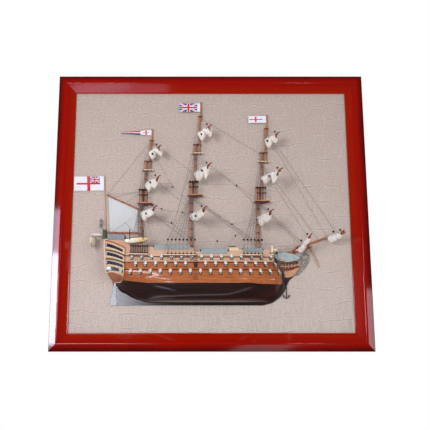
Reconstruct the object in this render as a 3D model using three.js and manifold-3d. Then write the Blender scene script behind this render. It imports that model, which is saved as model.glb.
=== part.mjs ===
// Framed half model of a three-decked sailing warship.
// A lacquered wooden frame holds a linen-covered board. The starboard half of the ship lies on the
// linen with its bow to the right, and its half yards stand out towards the viewer.
// Millimetres. X to the right, Z up, the wall is the plane Y = 0 and the viewer looks along +Y.
// The origin is the middle of the back.
import * as THREE from "three";
import { mergeVertices } from "three/addons/utils/BufferGeometryUtils.js";
import Module from "manifold-3d";

const wasm = await Module();
wasm.setup();

// Clearance between neighbouring pieces
const GAP = 0.3;

// Frame and ground. The margins of linen around the ship set the frame's size, further down
const MEMBER_WIDTH = 49;
const EDGE_DEPTH = 26;
const RIDGE_DEPTH = 36;
const RIDGE_INSET = 23;
const RIDGE_RADIUS = 4;
const LIP_DEPTH = 16.5;
const LIP_WIDTH = 3;
const REBATE = 14;
const PANEL_THICKNESS = 10;
const LINEN_THICKNESS = 1.2;
const SEAT = PANEL_THICKNESS + LINEN_THICKNESS + 2 * GAP;
const MARGIN = { aft: 1.7, fore: 14.5, below: 75, above: 29 };

// Hull, with x forward from the rudder's foot and z up from the underside of the keel
const STEM_X = 483;
const BEAKHEAD_X = STEM_X - 27;
const TAFFRAIL_X = -11;
const HALF_BREADTH = 66;
const KEEL_HALF = 3.2;
const KEEL_DEPTH = 6;
const BEAM_LEVEL = 68;
const WATERLINE = BEAM_LEVEL - 5;
const WALE = { level: BEAM_LEVEL + 3, height: 10, proud: 1.4 };
const LOWER_STRIPE = BEAM_LEVEL + 27.5;
const UPPER_STRIPE = LOWER_STRIPE + 20;
const BEAKHEAD_LEVEL = UPPER_STRIPE - 5.5;
const RAIL_LEVEL = UPPER_STRIPE + 17.5;
const RAIL_SHEER = 7.5;
const STRIPE_HEIGHT = 3;
const STRIPE_PROUD = 1;
const TUMBLEHOME = 0.27;
const PARALLEL_AFT = 190;
const PARALLEL_FORE = STEM_X - 163;
const STERNPOST_FOOT = 22;
const STERNPOST_HEAD = 17;
// Exponents of the hull's curves, low down and high up: the fullness of its sections and the sweep
// and end of its waterlines forward and aft
const BILGE_CURVE = 2.4;
const TUMBLEHOME_CURVE = 1.6;
const BOW_SWEEP = { low: 1.7, high: 2.6 };
const BOW_END = { low: 1.1, high: 0.62 };
const RUN_SWEEP = { low: 1.4, high: 2.2 };
const RUN_END = { low: 1.6, high: 1 };
// Share of the middle breadth that is left at the beakhead and across the stern
const BEAKHEAD_BREADTH = 0.6;
const STERN_BREADTH = 0.7;

// Decks from aft forward: where each ends, the top of its bulwark, and the hammock netting on it,
// which starts and stops short of the deck's ends
const BULWARK = 3;
const DECK_DROP = 9;
const NETTING_WIDTH = 5;
const POOP = { end: 94, top: RAIL_LEVEL + 43, netting: { aft: 7, fore: 50, height: 16 } };
const QUARTERDECK = { end: 230, top: RAIL_LEVEL + 22, netting: { aft: 33, fore: 5, height: 13 } };
const WAIST = { end: STEM_X - 151, top: RAIL_LEVEL + 10, netting: { aft: 25, fore: 5, height: 11 } };
const FORECASTLE = { end: BEAKHEAD_X, top: RAIL_LEVEL + 15, netting: { aft: 37, fore: 32, height: 7 } };
const DECKS = [POOP, QUARTERDECK, WAIST, FORECASTLE];

// Gun ports: three rows, each with its first port, the end of the side there, and its height
const PORT_PITCH = 27;
const PORT_CLEAR = 10;
const PORT_ROWS = [
    { first: 64, end: STEM_X, level: LOWER_STRIPE - 9.5 },
    { first: 78, end: STEM_X - 14, level: UPPER_STRIPE - 8.5 },
    { first: 67, end: BEAKHEAD_X, level: RAIL_LEVEL - 7 },
];
const ENTRY_PORT = { row: 1, index: 6, width: 11, height: 14, proud: 3 };
const LID_WIDTH = 7.5;
const LID_HEIGHT = 10;
const LID_THICKNESS = 1.2;
const LID_OPEN = 28;
const HINGE_RISE = 12;

// Masts: x at the deck, forward lean, and the rises from the keel to the platform, on to the
// crosstrees, to the upper cap and to the truck. The channel that spreads the shrouds reaches as far
// aft and fore of the mast as its last two numbers say
const LOWER_RADIUS = 5.5;
const TOPMAST_RADIUS = 4;
const TOPGALLANT_RADIUS = 3.3;
const POLE_RADIUS = 2;
const MAST_SPACING = 12;
const POLE_SPACING = 5;
const POLE_HEEL = 16;
const LOWER_HEAD = 40;
const TOPMAST_HEAD = 26;
const CAP_THICKNESS = 4;
const CAP_REACH = 12;
const UPPER_CAP_REACH = 11;
const POLE_CAP_REACH = 9;
const CAP_MARGIN = 1.5;
const MAST_TAPER = 0.88;
const TOP_LENGTH = 46;
const TOP_AFT = 11;
const TOP_REACH = 30;
const TOP_THICKNESS = 3.5;
const CROSSTREE_LENGTH = 33;
const CROSSTREE_REACH = 16;
const CROSSTREE_THICKNESS = 3;
const CHANNEL_WIDTH = 8;
const CHANNEL_THICKNESS = 2;
const MASTS = [
    { name: "mizzen", x: POOP.end - 9, lean: 0, rises: [284, 98, 92, 32], aft: 27, fore: 27 },
    { name: "main", x: QUARTERDECK.end - 3, lean: 0, rises: [307, 125, 115, 41], aft: 76, fore: 14 },
    { name: "fore", x: STEM_X - 68, lean: 0.5, rises: [290, 117, 103, 39], aft: 50, fore: 9 },
];

// Yards, from the lower mast upwards: how far each hangs below the top of its section, its reach
// from the linen and its brace angle
const YARD_ROOT = 2.6;
const YARD_TIP = 1.5;
const BOOM_RADIUS = 1.2;
const BOOM_START = 0.6;
const BOOM_END = 1.07;
const BOOM_SPREAD = 5;
const YARDS = {
    mizzen: [
        { name: "crossjack", below: 24, reach: 82, brace: 30 },
        { name: "topsail", below: 38, reach: 80, brace: 28 },
        { name: "topgallant", below: 36, reach: 55, brace: 29.5 },
    ],
    main: [
        { name: "course", below: 54, reach: 110, brace: 19 },
        { name: "topsail", below: 56, reach: 96, brace: 22.5 },
        { name: "topgallant", below: 52, reach: 62, brace: 25.5 },
    ],
    fore: [
        { name: "course", below: 45, reach: 112, brace: 11.5 },
        { name: "topsail", below: 45, reach: 95, brace: 23.5 },
        { name: "topgallant", below: 36, reach: 62, brace: 24 },
    ],
};
const SAIL_THICKNESS = 13;
const SAIL_HEAD = 12;
const SAIL_DROP = 18;
const SAIL_FESTOONS = 2;
const FESTOON_CURVE = 0.8;
const SAIL_CLEAR = 2;
const SAIL_END = 0.97;
const SAIL_STEPS = 8;

// Bowsprit, jibboom, dolphin striker and the two spritsail yards
const BOWSPRIT_RADIUS = 5;
const JIBBOOM_RADIUS = 3;
const BOWSPRIT_STEEVE = 18;
const BOWSPRIT_HEEL = BEAKHEAD_X + 6;
const BOWSPRIT_LEVEL = BEAKHEAD_LEVEL + 21;
const BOWSPRIT_LENGTH = 102;
const JIBBOOM_OVERLAP = 36;
const JIBBOOM_LENGTH = 148;
const JIBBOOM_HEEL = BOWSPRIT_LENGTH - JIBBOOM_OVERLAP;
const JIBBOOM_TAPER = 0.7;
const JIBBOOM_LIFT = BOWSPRIT_RADIUS + JIBBOOM_RADIUS + GAP;
const STRIKER_LENGTH = 58;
const STRIKER_RADIUS = 2.2;
const STRIKER_ANGLE = 24;
const SPRITSAILS = [
    { name: "spritsail", onJibboom: false, along: 68, reach: 86, rise: 22, brace: 13, drop: 16 },
    { name: "sprit_topsail", onJibboom: true, along: 163, reach: 60, rise: 7, brace: 25, drop: 10 },
];

// Driver: gaff, boom and sail, abaft the mizzen mast
const GAFF_DROP = 14;
const GAFF_PEAK = { x: TAFFRAIL_X - 3, rise: 42 };
const DRIVER_BOOM_LEVEL = POOP.top + 26;
const DRIVER_BOOM_END = TAFFRAIL_X + 3;
const DRIVER_SPAR_RADIUS = 2.4;
const DRIVER_SPAR_TAPER = 0.75;
const JAW_CLEAR = 1;
// How far the sail's four corners stand in from its spars' ends, from the jaw round to the boom's end
const DRIVER_INSETS = { tack: 3, throat: 2, peak: 4, clew: 5 };
const CLOTH = 1;

// Ensign staff and flags
const STAFF_RADIUS = 2;
const STAFF_TAPER = 0.6;
const STAFF_FOOT = { x: TAFFRAIL_X - 3, z: POOP.top + 22 };
const STAFF_HEAD = { x: STAFF_FOOT.x - 8, z: STAFF_FOOT.z + 169 };
const ENSIGN = { length: 86, height: 42 };
const FLAG_BELOW = 2;
const MAST_FLAGS = [
    { name: "pennant", mast: "mizzen", length: 89, height: 16, fly: 2.5 },
    { name: "flag_main", mast: "main", length: 61, height: 26, fly: 26 },
    { name: "flag_fore", mast: "fore", length: 52, height: 21, fly: 21 },
];

// Stern: quarter gallery, rudder, davit and boats
const GALLERY = {
    aft: TAFFRAIL_X - 2, fore: 47,
    foot: WATERLINE - 1, shelf: LOWER_STRIPE - 9.5, top: POOP.top - 18,
    rake: 6, proud: 8, shelfTilt: 20, topTilt: 22, clear: 1.8,
};
const GALLERY_TIERS = 4;
const GALLERY_FOOT = { centre: 0.7, half: 6, curve: 0.6 };
// Share of the full swell that is left at the fore end and at the foot
const GALLERY_FLAT = 0.35;
const GALLERY_STEPS = 4;
const LEDGE_PROUD = 2.2;
const LEDGE_HALF = 2;
const RUDDER_FOOT = 21;
const RUDDER_HEAD = 5.5;
const DAVIT = { length: 37, level: POOP.top + 21, thickness: 4, out: 10 };
const QUARTER_BOAT = {
    length: 60, beam: 18, depth: 15,
    x: POOP.end - 14, keel: POOP.top - 10, clear: 4, trim: 6,
};
const STERN_BOAT = { length: 48, beam: 16, depth: 27, x: TAFFRAIL_X - 35.5, fall: 6 };
// Form of a boat: share of the beam at its ends, exponents of its plan and section, rise of its keel
const BOAT_FORM = { end: 0.12, plan: 2.6, section: 2.2, rise: 0.35 };
const BOAT_WALL = 1.5;
const BOAT_STEPS = 8;

// Head: rails, knee, figurehead and anchor, from the stem and the level of the beakhead
const HEAD_RAILS = {
    aft: STEM_X + 1, fore: STEM_X + 45, foot: BEAKHEAD_LEVEL - 12,
    height: 25, rise: 9, spread: 20, thickness: 2.4,
};
// Rows up the head: how far up each stands and whether a rail runs along it
const HEAD_ROWS = [
    { up: 0, rail: 1 }, { up: 0.28, rail: 0 }, { up: 0.36, rail: 1 },
    { up: 0.64, rail: 0 }, { up: 0.72, rail: 1 }, { up: 1, rail: 1 },
];
const HEAD_STEPS = 8;
const KNEE_EDGE = [[31, -30], [35, -17], [46, -8]];
const FIGUREHEAD = [
    [54, 3], [56, 15], [55, 24], [60, 32], [73, 28], [73, 18], [69, 4], [62, -7],
    [52, -17], [42, -26], [36, -30],
];
const FIGUREHEAD_THICKNESS = 9;
const FIGUREHEAD_EDGE = 1.5;
const ANCHOR = { x: STEM_X + 9, ring: BEAKHEAD_LEVEL - 34, length: 56, span: 17, shank: 1.3, stock: 14 };

// Number of steps along the curved shapes
const HULL_STEPS = 28;
const STRIP_STEPS = 5;
const ROUND_SIDES = 8;
const SMALL_SIDES = 6;
const SAME_POINT = 1e-4;

const radians = THREE.MathUtils.degToRad;

// Heights of a mast's platform, crosstrees, upper cap and truck
function mastLevels({ rises }) {
    return rises.map((_, k) => rises.slice(0, k + 1).reduce((sum, rise) => sum + rise));
}

// The ship reaches from the ensign's fly to the jibboom's end and from the keel to the highest truck
const AFT_END = STAFF_HEAD.x - STAFF_RADIUS - GAP - ENSIGN.length;
const FORE_END = BOWSPRIT_HEEL + (JIBBOOM_HEEL + JIBBOOM_LENGTH) * Math.cos(radians(BOWSPRIT_STEEVE));
const HIGH_END = Math.max(...MASTS.map((mast) => mastLevels(mast)[3]));
const FRAME_WIDTH = MARGIN.aft + FORE_END - AFT_END + MARGIN.fore + 2 * MEMBER_WIDTH;
const FRAME_HEIGHT = MARGIN.below + HIGH_END + MARGIN.above + 2 * MEMBER_WIDTH;
const SHIP_X = MEMBER_WIDTH + MARGIN.aft - AFT_END - FRAME_WIDTH / 2;
const KEEL_Z = MEMBER_WIDTH + MARGIN.below - FRAME_HEIGHT / 2;

const lerp = THREE.MathUtils.lerp;
const clamp = THREE.MathUtils.clamp;
const smoothstep = THREE.MathUtils.smoothstep;

function finish(color, roughness, metalness = 0) {
    return new THREE.MeshStandardMaterial({ color, roughness, metalness });
}

const lacquer = finish(0x7c1006, 0.18);
const board = finish(0xb08d62, 0.7);
const linen = finish(0xc4b6aa, 0.95);
const hullWood = finish(0x9d5834, 0.35);
const paleWood = finish(0xc69c7c, 0.4);
const sparWood = finish(0x7a3320, 0.45);
const mastWood = finish(0x8c6a52, 0.5);
const topWood = finish(0x6c3a22, 0.45);
const sailCloth = finish(0xe4e2de, 0.9);
const flagCloth = finish(0xe8e6f0, 0.9);
const boatPaint = finish(0xe9dcae, 0.45);
const silver = finish(0x8b8f88, 0.4, 0.5);
const iron = finish(0x1b1b1b, 0.5, 0.6);

// A closed geometry as a solid, turned the right way out where its faces point in
function solidOf(geometry) {
    const bare = geometry.clone();
    bare.deleteAttribute("normal");
    bare.deleteAttribute("uv");
    const merged = mergeVertices(bare, SAME_POINT);
    const index = [];
    for (let i = 0; i < merged.index.count; i += 3) {
        const [a, b, c] = [0, 1, 2].map((k) => merged.index.getX(i + k));
        if (a !== b && b !== c && c !== a) index.push(a, b, c);
    }
    const points = merged.attributes.position;
    const corner = (k) => new THREE.Vector3().fromBufferAttribute(points, k);
    let volume = 0;
    for (let i = 0; i < index.length; i += 3) {
        const [a, b, c] = [0, 1, 2].map((k) => corner(index[i + k]));
        volume += a.dot(b.cross(c));
    }
    if (volume < 0) index.reverse();
    return new wasm.Manifold(new wasm.Mesh({
        numProp: 3,
        vertProperties: new Float32Array(points.array),
        triVerts: new Uint32Array(index),
    }));
}

function geometryOf(solid) {
    const { vertProperties, triVerts } = solid.getMesh();
    const geometry = new THREE.BufferGeometry();
    geometry.setAttribute("position", new THREE.BufferAttribute(new Float32Array(vertProperties), 3));
    geometry.setIndex(new THREE.BufferAttribute(new Uint32Array(triVerts), 1));
    geometry.computeVertexNormals();
    return geometry;
}

const join = (first, ...others) =>
    geometryOf(others.reduce((sum, other) => sum.add(solidOf(other)), solidOf(first)));
const cut = (first, ...tools) =>
    geometryOf(tools.reduce((rest, tool) => rest.subtract(solidOf(tool)), solidOf(first)));

const evenly = (steps) => Array.from({ length: steps + 1 }, (_, i) => i / steps);

// A box whose front and back become two sheets of points, each a function of u and v from 0 to 1
function between(front, back, us, vs) {
    const [uValues, vValues] = [us, vs].map((steps) => Array.isArray(steps) ? steps : evenly(steps));
    const pick = (list, share) => list[Math.round((share + 0.5) * (list.length - 1))];
    const geometry = new THREE.BoxGeometry(1, 1, 1, uValues.length - 1, 1, vValues.length - 1);
    const points = geometry.attributes.position;
    for (let i = 0; i < points.count; i++) {
        const side = points.getY(i) < 0 ? front : back;
        const { x, y, z } = side(pick(uValues, points.getX(i)), pick(vValues, points.getZ(i)));
        points.setXYZ(i, x, y, z);
    }
    return geometry;
}

// A box between two corners
function block(x0, x1, out0, out1, z0, z1) {
    return new THREE.BoxGeometry(x1 - x0, out1 - out0, z1 - z0)
        .translate((x0 + x1) / 2, -(out0 + out1) / 2, (z0 + z1) / 2);
}

// A tapered round bar between two points
function bar(from, to, radius, endRadius = radius, sides = SMALL_SIDES) {
    const along = new THREE.Vector3().subVectors(to, from);
    const upward = new THREE.Vector3(0, 1, 0);
    const turn = new THREE.Quaternion().setFromUnitVectors(upward, along.clone().normalize());
    return new THREE.CylinderGeometry(endRadius, radius, along.length(), sides)
        .applyQuaternion(turn)
        .translate(...from.clone().addScaledVector(along, 0.5).toArray());
}

// A flat shape in the X-Z plane, given thickness from one depth to another
function plate(points, out0, out1) {
    const shape = new THREE.Shape(points.map(([x, z]) => new THREE.Vector2(x, z)));
    return new THREE.ExtrudeGeometry(shape, { depth: out1 - out0, bevelEnabled: false })
        .rotateX(Math.PI / 2)
        .translate(0, -out0, 0);
}

function mesh(name, geometry, material) {
    const piece = new THREE.Mesh(geometry, material);
    piece.name = name;
    return piece;
}

// A value read between the pairs [z, value] of a profile
function profileAt(pairs, z) {
    const last = pairs.length - 1;
    if (z <= pairs[0][0]) return pairs[0][1];
    if (z >= pairs[last][0]) return pairs[last][1];
    const k = pairs.findIndex(([level]) => level > z);
    const [z0, a] = pairs[k - 1];
    const [z1, b] = pairs[k];
    return lerp(a, b, (z - z0) / (z1 - z0));
}

// Frame: four mitred members around a board that carries the linen

function frameMember(length, halfAcross) {
    const profile = new THREE.Shape();
    const slope = (RIDGE_DEPTH - EDGE_DEPTH) / RIDGE_INSET;
    const fall = (RIDGE_DEPTH - LIP_DEPTH) / (MEMBER_WIDTH - LIP_WIDTH - RIDGE_INSET);
    profile.moveTo(0, 0);
    profile.lineTo(0, EDGE_DEPTH);
    profile.lineTo(RIDGE_INSET - RIDGE_RADIUS, RIDGE_DEPTH - slope * RIDGE_RADIUS);
    profile.quadraticCurveTo(
        RIDGE_INSET, RIDGE_DEPTH,
        RIDGE_INSET + RIDGE_RADIUS, RIDGE_DEPTH - fall * RIDGE_RADIUS);
    profile.lineTo(MEMBER_WIDTH - LIP_WIDTH, LIP_DEPTH);
    profile.lineTo(MEMBER_WIDTH, LIP_DEPTH);
    profile.lineTo(MEMBER_WIDTH, SEAT);
    profile.lineTo(MEMBER_WIDTH - REBATE, SEAT);
    profile.lineTo(MEMBER_WIDTH - REBATE, 0);
    const run = { depth: length, bevelEnabled: false, curveSegments: 4 };
    const geometry = new THREE.ExtrudeGeometry(profile, run);
    const points = geometry.attributes.position;
    for (let i = 0; i < points.count; i++) {
        const inward = points.getX(i);
        const mitre = inward + GAP;
        const along = points.getZ(i) < length / 2 ? mitre : length - mitre;
        points.setXYZ(i, along - length / 2, -points.getY(i), inward - halfAcross);
    }
    return geometryOf(solidOf(geometry));
}

function buildFrame() {
    const frame = new THREE.Group();
    const members = [
        { name: "frame_rail_bottom", length: FRAME_WIDTH, across: FRAME_HEIGHT },
        { name: "frame_stile_left", length: FRAME_HEIGHT, across: FRAME_WIDTH },
        { name: "frame_rail_top", length: FRAME_WIDTH, across: FRAME_HEIGHT },
        { name: "frame_stile_right", length: FRAME_HEIGHT, across: FRAME_WIDTH },
    ];
    members.forEach(({ name, length, across }, quarter) => {
        const member = mesh(name, frameMember(length, across / 2), lacquer);
        member.rotation.y = quarter * Math.PI / 2;
        frame.add(member);
    });
    const inset = MEMBER_WIDTH - REBATE + GAP;
    const width = FRAME_WIDTH - 2 * inset;
    const height = FRAME_HEIGHT - 2 * inset;
    const panel = mesh("backing_panel", new THREE.BoxGeometry(width, PANEL_THICKNESS, height), board);
    panel.position.y = -PANEL_THICKNESS / 2;
    const ground = mesh("linen_ground", new THREE.BoxGeometry(width, LINEN_THICKNESS, height), linen);
    ground.position.y = -(PANEL_THICKNESS + GAP + LINEN_THICKNESS / 2);
    frame.add(panel, ground);
    return frame;
}

// Hull form, as half breadths from the flat back

const sternAt = (z) => profileAt([
    [0, STERNPOST_FOOT],
    [WALE.level - WALE.height / 2, STERNPOST_HEAD],
    [WATERLINE + 30, TAFFRAIL_X + 8],
    [WATERLINE + 46, TAFFRAIL_X + 2],
    [POOP.top, TAFFRAIL_X],
], z);

const stemAt = (z) => profileAt([
    [KEEL_DEPTH, STEM_X - 43],
    [KEEL_DEPTH + 6, STEM_X - 28],
    [KEEL_DEPTH + 17, STEM_X - 16],
    [KEEL_DEPTH + 28, STEM_X - 7],
    [WATERLINE - 6, STEM_X - 1],
    [BEAM_LEVEL, STEM_X],
    [BEAKHEAD_LEVEL, STEM_X - 3],
    [BEAKHEAD_LEVEL + 1.5, BEAKHEAD_X],
], z);

// Half breadth of the middle body at a height
function midBreadth(z) {
    if (z < BEAM_LEVEL) {
        const rise = clamp((z - KEEL_DEPTH) / (BEAM_LEVEL - KEEL_DEPTH), 0, 1);
        return Math.max(KEEL_HALF, HALF_BREADTH * (1 - (1 - rise) ** BILGE_CURVE) ** (1 / BILGE_CURVE));
    }
    const fall = (z - BEAM_LEVEL) / (POOP.top - BEAM_LEVEL);
    return HALF_BREADTH * (1 - TUMBLEHOME * fall ** TUMBLEHOME_CURVE);
}

// Half breadth at any station and height: full at the bow, fine under the stern
function breadthAt(x, z) {
    const middle = midBreadth(z);
    const high = smoothstep(z, KEEL_DEPTH + 4, BEAM_LEVEL + 7);
    const curve = ({ low, high: top }) => lerp(low, top, high);
    const toBow = clamp((x - PARALLEL_FORE) / (stemAt(z) - PARALLEL_FORE), 0, 1);
    const bowEnd = z > BEAKHEAD_LEVEL ? BEAKHEAD_BREADTH * middle : KEEL_HALF;
    const fore = bowEnd + (middle - bowEnd) * (1 - toBow ** curve(BOW_SWEEP)) ** curve(BOW_END);
    const toStern = clamp((PARALLEL_AFT - x) / (PARALLEL_AFT - sternAt(z)), 0, 1);
    const sternEnd = lerp(KEEL_HALF, STERN_BREADTH * middle, smoothstep(z, WATERLINE - 5, WATERLINE + 29));
    const aft = sternEnd + (middle - sternEnd) * (1 - toStern ** curve(RUN_SWEEP)) ** curve(RUN_END);
    return Math.max(KEEL_HALF, fore * aft / middle);
}

const hullX = (u, z) => lerp(sternAt(z), stemAt(z), u);
const sideX = (u) => lerp(TAFFRAIL_X, BEAKHEAD_X, u);
const sideU = (x) => (x - TAFFRAIL_X) / (BEAKHEAD_X - TAFFRAIL_X);
const deckAt = (x) => DECKS.find(({ end }) => x < end) ?? FORECASTLE;

function sheerAt(x) {
    return RAIL_SHEER * clamp((QUARTERDECK.end - x) / (QUARTERDECK.end - TAFFRAIL_X), 0, 1) ** 2;
}

const topAt = (x) => deckAt(x).top + (x < POOP.end ? sheerAt(x) - sheerAt(POOP.end) : 0);
const railAt = (x) => RAIL_LEVEL + sheerAt(x);

// Rows of points up the side, with the thick planks of the wale and a bead along each stripe
function hullRows() {
    const plain = (z) => [{ z: () => z, proud: 0 }];
    const bead = (level) => [-1, 0, 1].map((side) => ({
        z: (x) => level(x) + side * STRIPE_HEIGHT / 2,
        proud: side ? 0 : STRIPE_PROUD,
    }));
    const { level, height, proud } = WALE;
    return [
        ...[0, 3, 9, 20, 35, 50].flatMap((rise) => plain(KEEL_DEPTH + rise)),
        { z: () => level - height / 2, proud: 0 },
        { z: () => level - height / 2 + GAP, proud },
        { z: () => level + height / 2 - GAP, proud },
        { z: () => level + height / 2, proud: 0 },
        ...plain((level + LOWER_STRIPE) / 2),
        ...bead(() => LOWER_STRIPE),
        ...plain(BEAKHEAD_LEVEL - 1),
        ...plain(BEAKHEAD_LEVEL + 1.6),
        ...bead(() => UPPER_STRIPE),
        ...bead(railAt),
        { z: topAt, proud: 0 },
    ];
}

// Fractions of the length at which the hull is cut into sections, paired at each break of the top line
function hullStations() {
    const eased = evenly(HULL_STEPS).map((s) => lerp(s, (1 - Math.cos(Math.PI * s)) / 2, 0.6));
    const breaks = DECKS.slice(0, -1).flatMap(({ end }) => [sideU(end - GAP), sideU(end + GAP)]);
    return [...eased, ...breaks].sort((a, b) => a - b);
}

// The whole hull, cut down its middle plane so that its back is flat
function hullBody() {
    const rows = hullRows();
    const skin = (side) => (u, k) => {
        const z = rows[k].z(sideX(u));
        const x = hullX(u, z);
        return new THREE.Vector3(x, side * (breadthAt(x, z) + rows[k].proud), z);
    };
    const whole = between(skin(-1), skin(1), hullStations(), rows.map((_, k) => k));
    const margin = 2 * HALF_BREADTH;
    return cut(whole, block(-margin, STEM_X + margin, -margin, 0, -margin, POOP.top + margin));
}

// The space inside the bulwarks above one deck
function deckWell(index) {
    const deck = DECKS[index];
    const before = DECKS[index - 1];
    const after = DECKS[index + 1];
    const reach = BULWARK / 4;
    const aft = before ? before.end - (before.top < deck.top ? reach : 0) : TAFFRAIL_X + BULWARK;
    const fore = after ? deck.end + (after.top < deck.top ? reach : 0) : deck.end - BULWARK;
    const x = (u) => lerp(aft, fore, u);
    const z = (u, v) => topAt(Math.min(x(u), deck.end - GAP)) + lerp(-DECK_DROP, DECK_DROP, v);
    const side = (u, v) => breadthAt(x(u), Math.min(z(u, v), topAt(x(u)))) - BULWARK;
    return between(
        (u, v) => new THREE.Vector3(x(u), -side(u, v), z(u, v)),
        (u, v) => new THREE.Vector3(x(u), BULWARK, z(u, v)),
        STRIP_STEPS, 1);
}

// A strip that follows the side of the hull
function alongSide(from, to, level, height, inner, outer) {
    const sheet = (proud) => (u, v) => {
        const x = lerp(from, to, u);
        return new THREE.Vector3(x, -(breadthAt(x, level(x)) + proud), level(x) + v * height);
    };
    return between(sheet(outer), sheet(inner), STRIP_STEPS, 1);
}

// Turns and moves a small piece made at the origin, facing -Y, onto the side of the hull
function onSide(geometry, x, z, sink = 0) {
    const slope = (breadthAt(x + 1, z) - breadthAt(x - 1, z)) / 2;
    return geometry
        .rotateZ(Math.atan2(-slope, 1))
        .translate(x, sink - breadthAt(x, z), z);
}

function portLid(x, level) {
    const lid = new THREE.BoxGeometry(LID_WIDTH, LID_THICKNESS, LID_HEIGHT)
        .translate(0, -LID_THICKNESS / 2, -LID_HEIGHT / 2)
        .rotateX(-radians(LID_OPEN));
    return onSide(lid, x, level + HINGE_RISE, LID_THICKNESS);
}

// Keel, stem and knee of the head in one plate
function keelPlate() {
    const forefoot = new THREE.SplineCurve([
        new THREE.Vector2(STEM_X - 57, 0),
        new THREE.Vector2(STEM_X - 35, 5),
        new THREE.Vector2(STEM_X - 21, 13),
        new THREE.Vector2(STEM_X - 7, 24),
        new THREE.Vector2(STEM_X + 4, 38),
        new THREE.Vector2(STEM_X + 13, 58),
        new THREE.Vector2(STEM_X + 20, BEAKHEAD_LEVEL - 40),
    ]).getPoints(12).map(({ x, y }) => [x, y]);
    const outline = [
        [STERNPOST_FOOT, 0],
        ...forefoot,
        ...KNEE_EDGE.map(([x, z]) => [STEM_X + x, BEAKHEAD_LEVEL + z]),
        [STEM_X + 20, BEAKHEAD_LEVEL - 12],
        [STEM_X - 12, BEAKHEAD_LEVEL - 16],
        [STEM_X - 14, 60],
        [STEM_X - 55, KEEL_DEPTH + 4],
        [STERNPOST_FOOT + 8, KEEL_DEPTH + 4],
        [STERNPOST_FOOT - 0.6, KEEL_DEPTH],
    ];
    return plate(outline, 0, KEEL_HALF);
}

// A beam over the taffrail, on a post, from which the stern boat hangs
function davitBeam() {
    const { length, level, thickness, out } = DAVIT;
    const inboard = TAFFRAIL_X + BULWARK;
    return [
        block(TAFFRAIL_X - length, inboard, out, out + thickness, level - thickness, level),
        block(TAFFRAIL_X, inboard, out, out + thickness, POOP.top, level),
    ];
}

function buildHull() {
    const ports = PORT_ROWS.flatMap(({ first, end, level }, row) => {
        const count = 1 + Math.floor((end - PORT_CLEAR - first) / PORT_PITCH);
        const port = (_, index) => ({ x: first + index * PORT_PITCH, level, row, index });
        return Array.from({ length: count }, port);
    });
    const isEntry = ({ row, index }) => row === ENTRY_PORT.row && index === ENTRY_PORT.index;
    const lids = ports.filter((port) => !isEntry(port)).map(({ x, level }) => portLid(x, level));
    const { x: entryX, level: entryLevel } = ports.find(isEntry);
    const entry = new THREE.BoxGeometry(ENTRY_PORT.width, 2 * ENTRY_PORT.proud, ENTRY_PORT.height);
    const nettings = DECKS.map(({ end, netting: { aft, fore, height } }, i) => {
        const start = i > 0 ? DECKS[i - 1].end : TAFFRAIL_X;
        return alongSide(start + aft, end - fore, (x) => topAt(x) - GAP, height, -NETTING_WIDTH, -GAP);
    });
    const ledgeAt = (x) => railAt(x) + STRIPE_HEIGHT / 2;
    const channels = MASTS.map(({ x, aft, fore }) =>
        alongSide(x - aft, x + fore, ledgeAt, CHANNEL_THICKNESS, -BULWARK / 2, CHANNEL_WIDTH));
    const body = cut(hullBody(), ...DECKS.map((_, i) => deckWell(i)));
    const doorway = onSide(entry, entryX, entryLevel);
    return join(body, keelPlate(), doorway, ...nettings, ...channels, ...davitBeam(), ...lids);
}

function buildRudder() {
    const lean = (STERNPOST_FOOT - STERNPOST_HEAD) / (WALE.level - WALE.height / 2);
    const head = WATERLINE - 1;
    const fore = (z) => STERNPOST_FOOT - GAP - lean * z;
    return plate([
        [fore(0), 0],
        [fore(head), head],
        [fore(head) - RUDDER_HEAD, head],
        [fore(head / 2) - (RUDDER_HEAD + RUDDER_FOOT) / 2 + 1, head / 2],
        [fore(0) - RUDDER_FOOT, 0],
    ], 0, KEEL_HALF);
}

// Quarter gallery: tiers of lights between ledges, on a tapered foot, lying against the side
function galleryPoint(u, k, rows, outer) {
    const { aft, fore, foot, shelf, top, rake, proud, shelfTilt, topTilt, clear } = GALLERY;
    const { z: level, ledge } = rows[k];
    const rise = clamp((level - shelf) / (top - shelf), 0, 1);
    const taper = clamp((level - foot) / (shelf - foot), 0, 1) ** GALLERY_FOOT.curve;
    const middle = lerp(aft, fore, GALLERY_FOOT.centre);
    const x = lerp(
        lerp(middle - GALLERY_FOOT.half, aft + rake * (1 - rise), taper),
        lerp(middle + GALLERY_FOOT.half, fore, taper),
        u);
    const tilt = lerp(shelfTilt, topTilt, rise);
    const z = level + tilt * taper * (1 - u);
    const seat = breadthAt(clamp(x, sternAt(z), fore), z) + WALE.proud + clear;
    const swell = lerp(1, GALLERY_FLAT, u) * lerp(GALLERY_FLAT, 1, taper);
    return new THREE.Vector3(x, -(seat + (outer ? proud * swell + ledge : 0)), z);
}

function buildGallery() {
    const { foot, shelf, top } = GALLERY;
    const tier = (top - shelf) / GALLERY_TIERS;
    const rows = [0, 0.35, 0.7].map((share) => ({ z: lerp(foot, shelf, share), ledge: 0 }));
    for (let k = 0; k <= GALLERY_TIERS; k++) {
        const z = shelf + k * tier;
        rows.push(
            { z: z - LEDGE_HALF, ledge: 0 },
            { z: z - LEDGE_HALF + GAP, ledge: LEDGE_PROUD },
            { z: z + LEDGE_HALF - GAP, ledge: LEDGE_PROUD },
            { z: z + LEDGE_HALF, ledge: 0 });
    }
    const sheet = (outer) => (u, k) => galleryPoint(u, k, rows, outer);
    return between(sheet(true), sheet(false), GALLERY_STEPS, rows.map((_, k) => k));
}

// Masts: lower mast, platform, topmast and topgallant mast with its pole, each ahead of the one below

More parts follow.
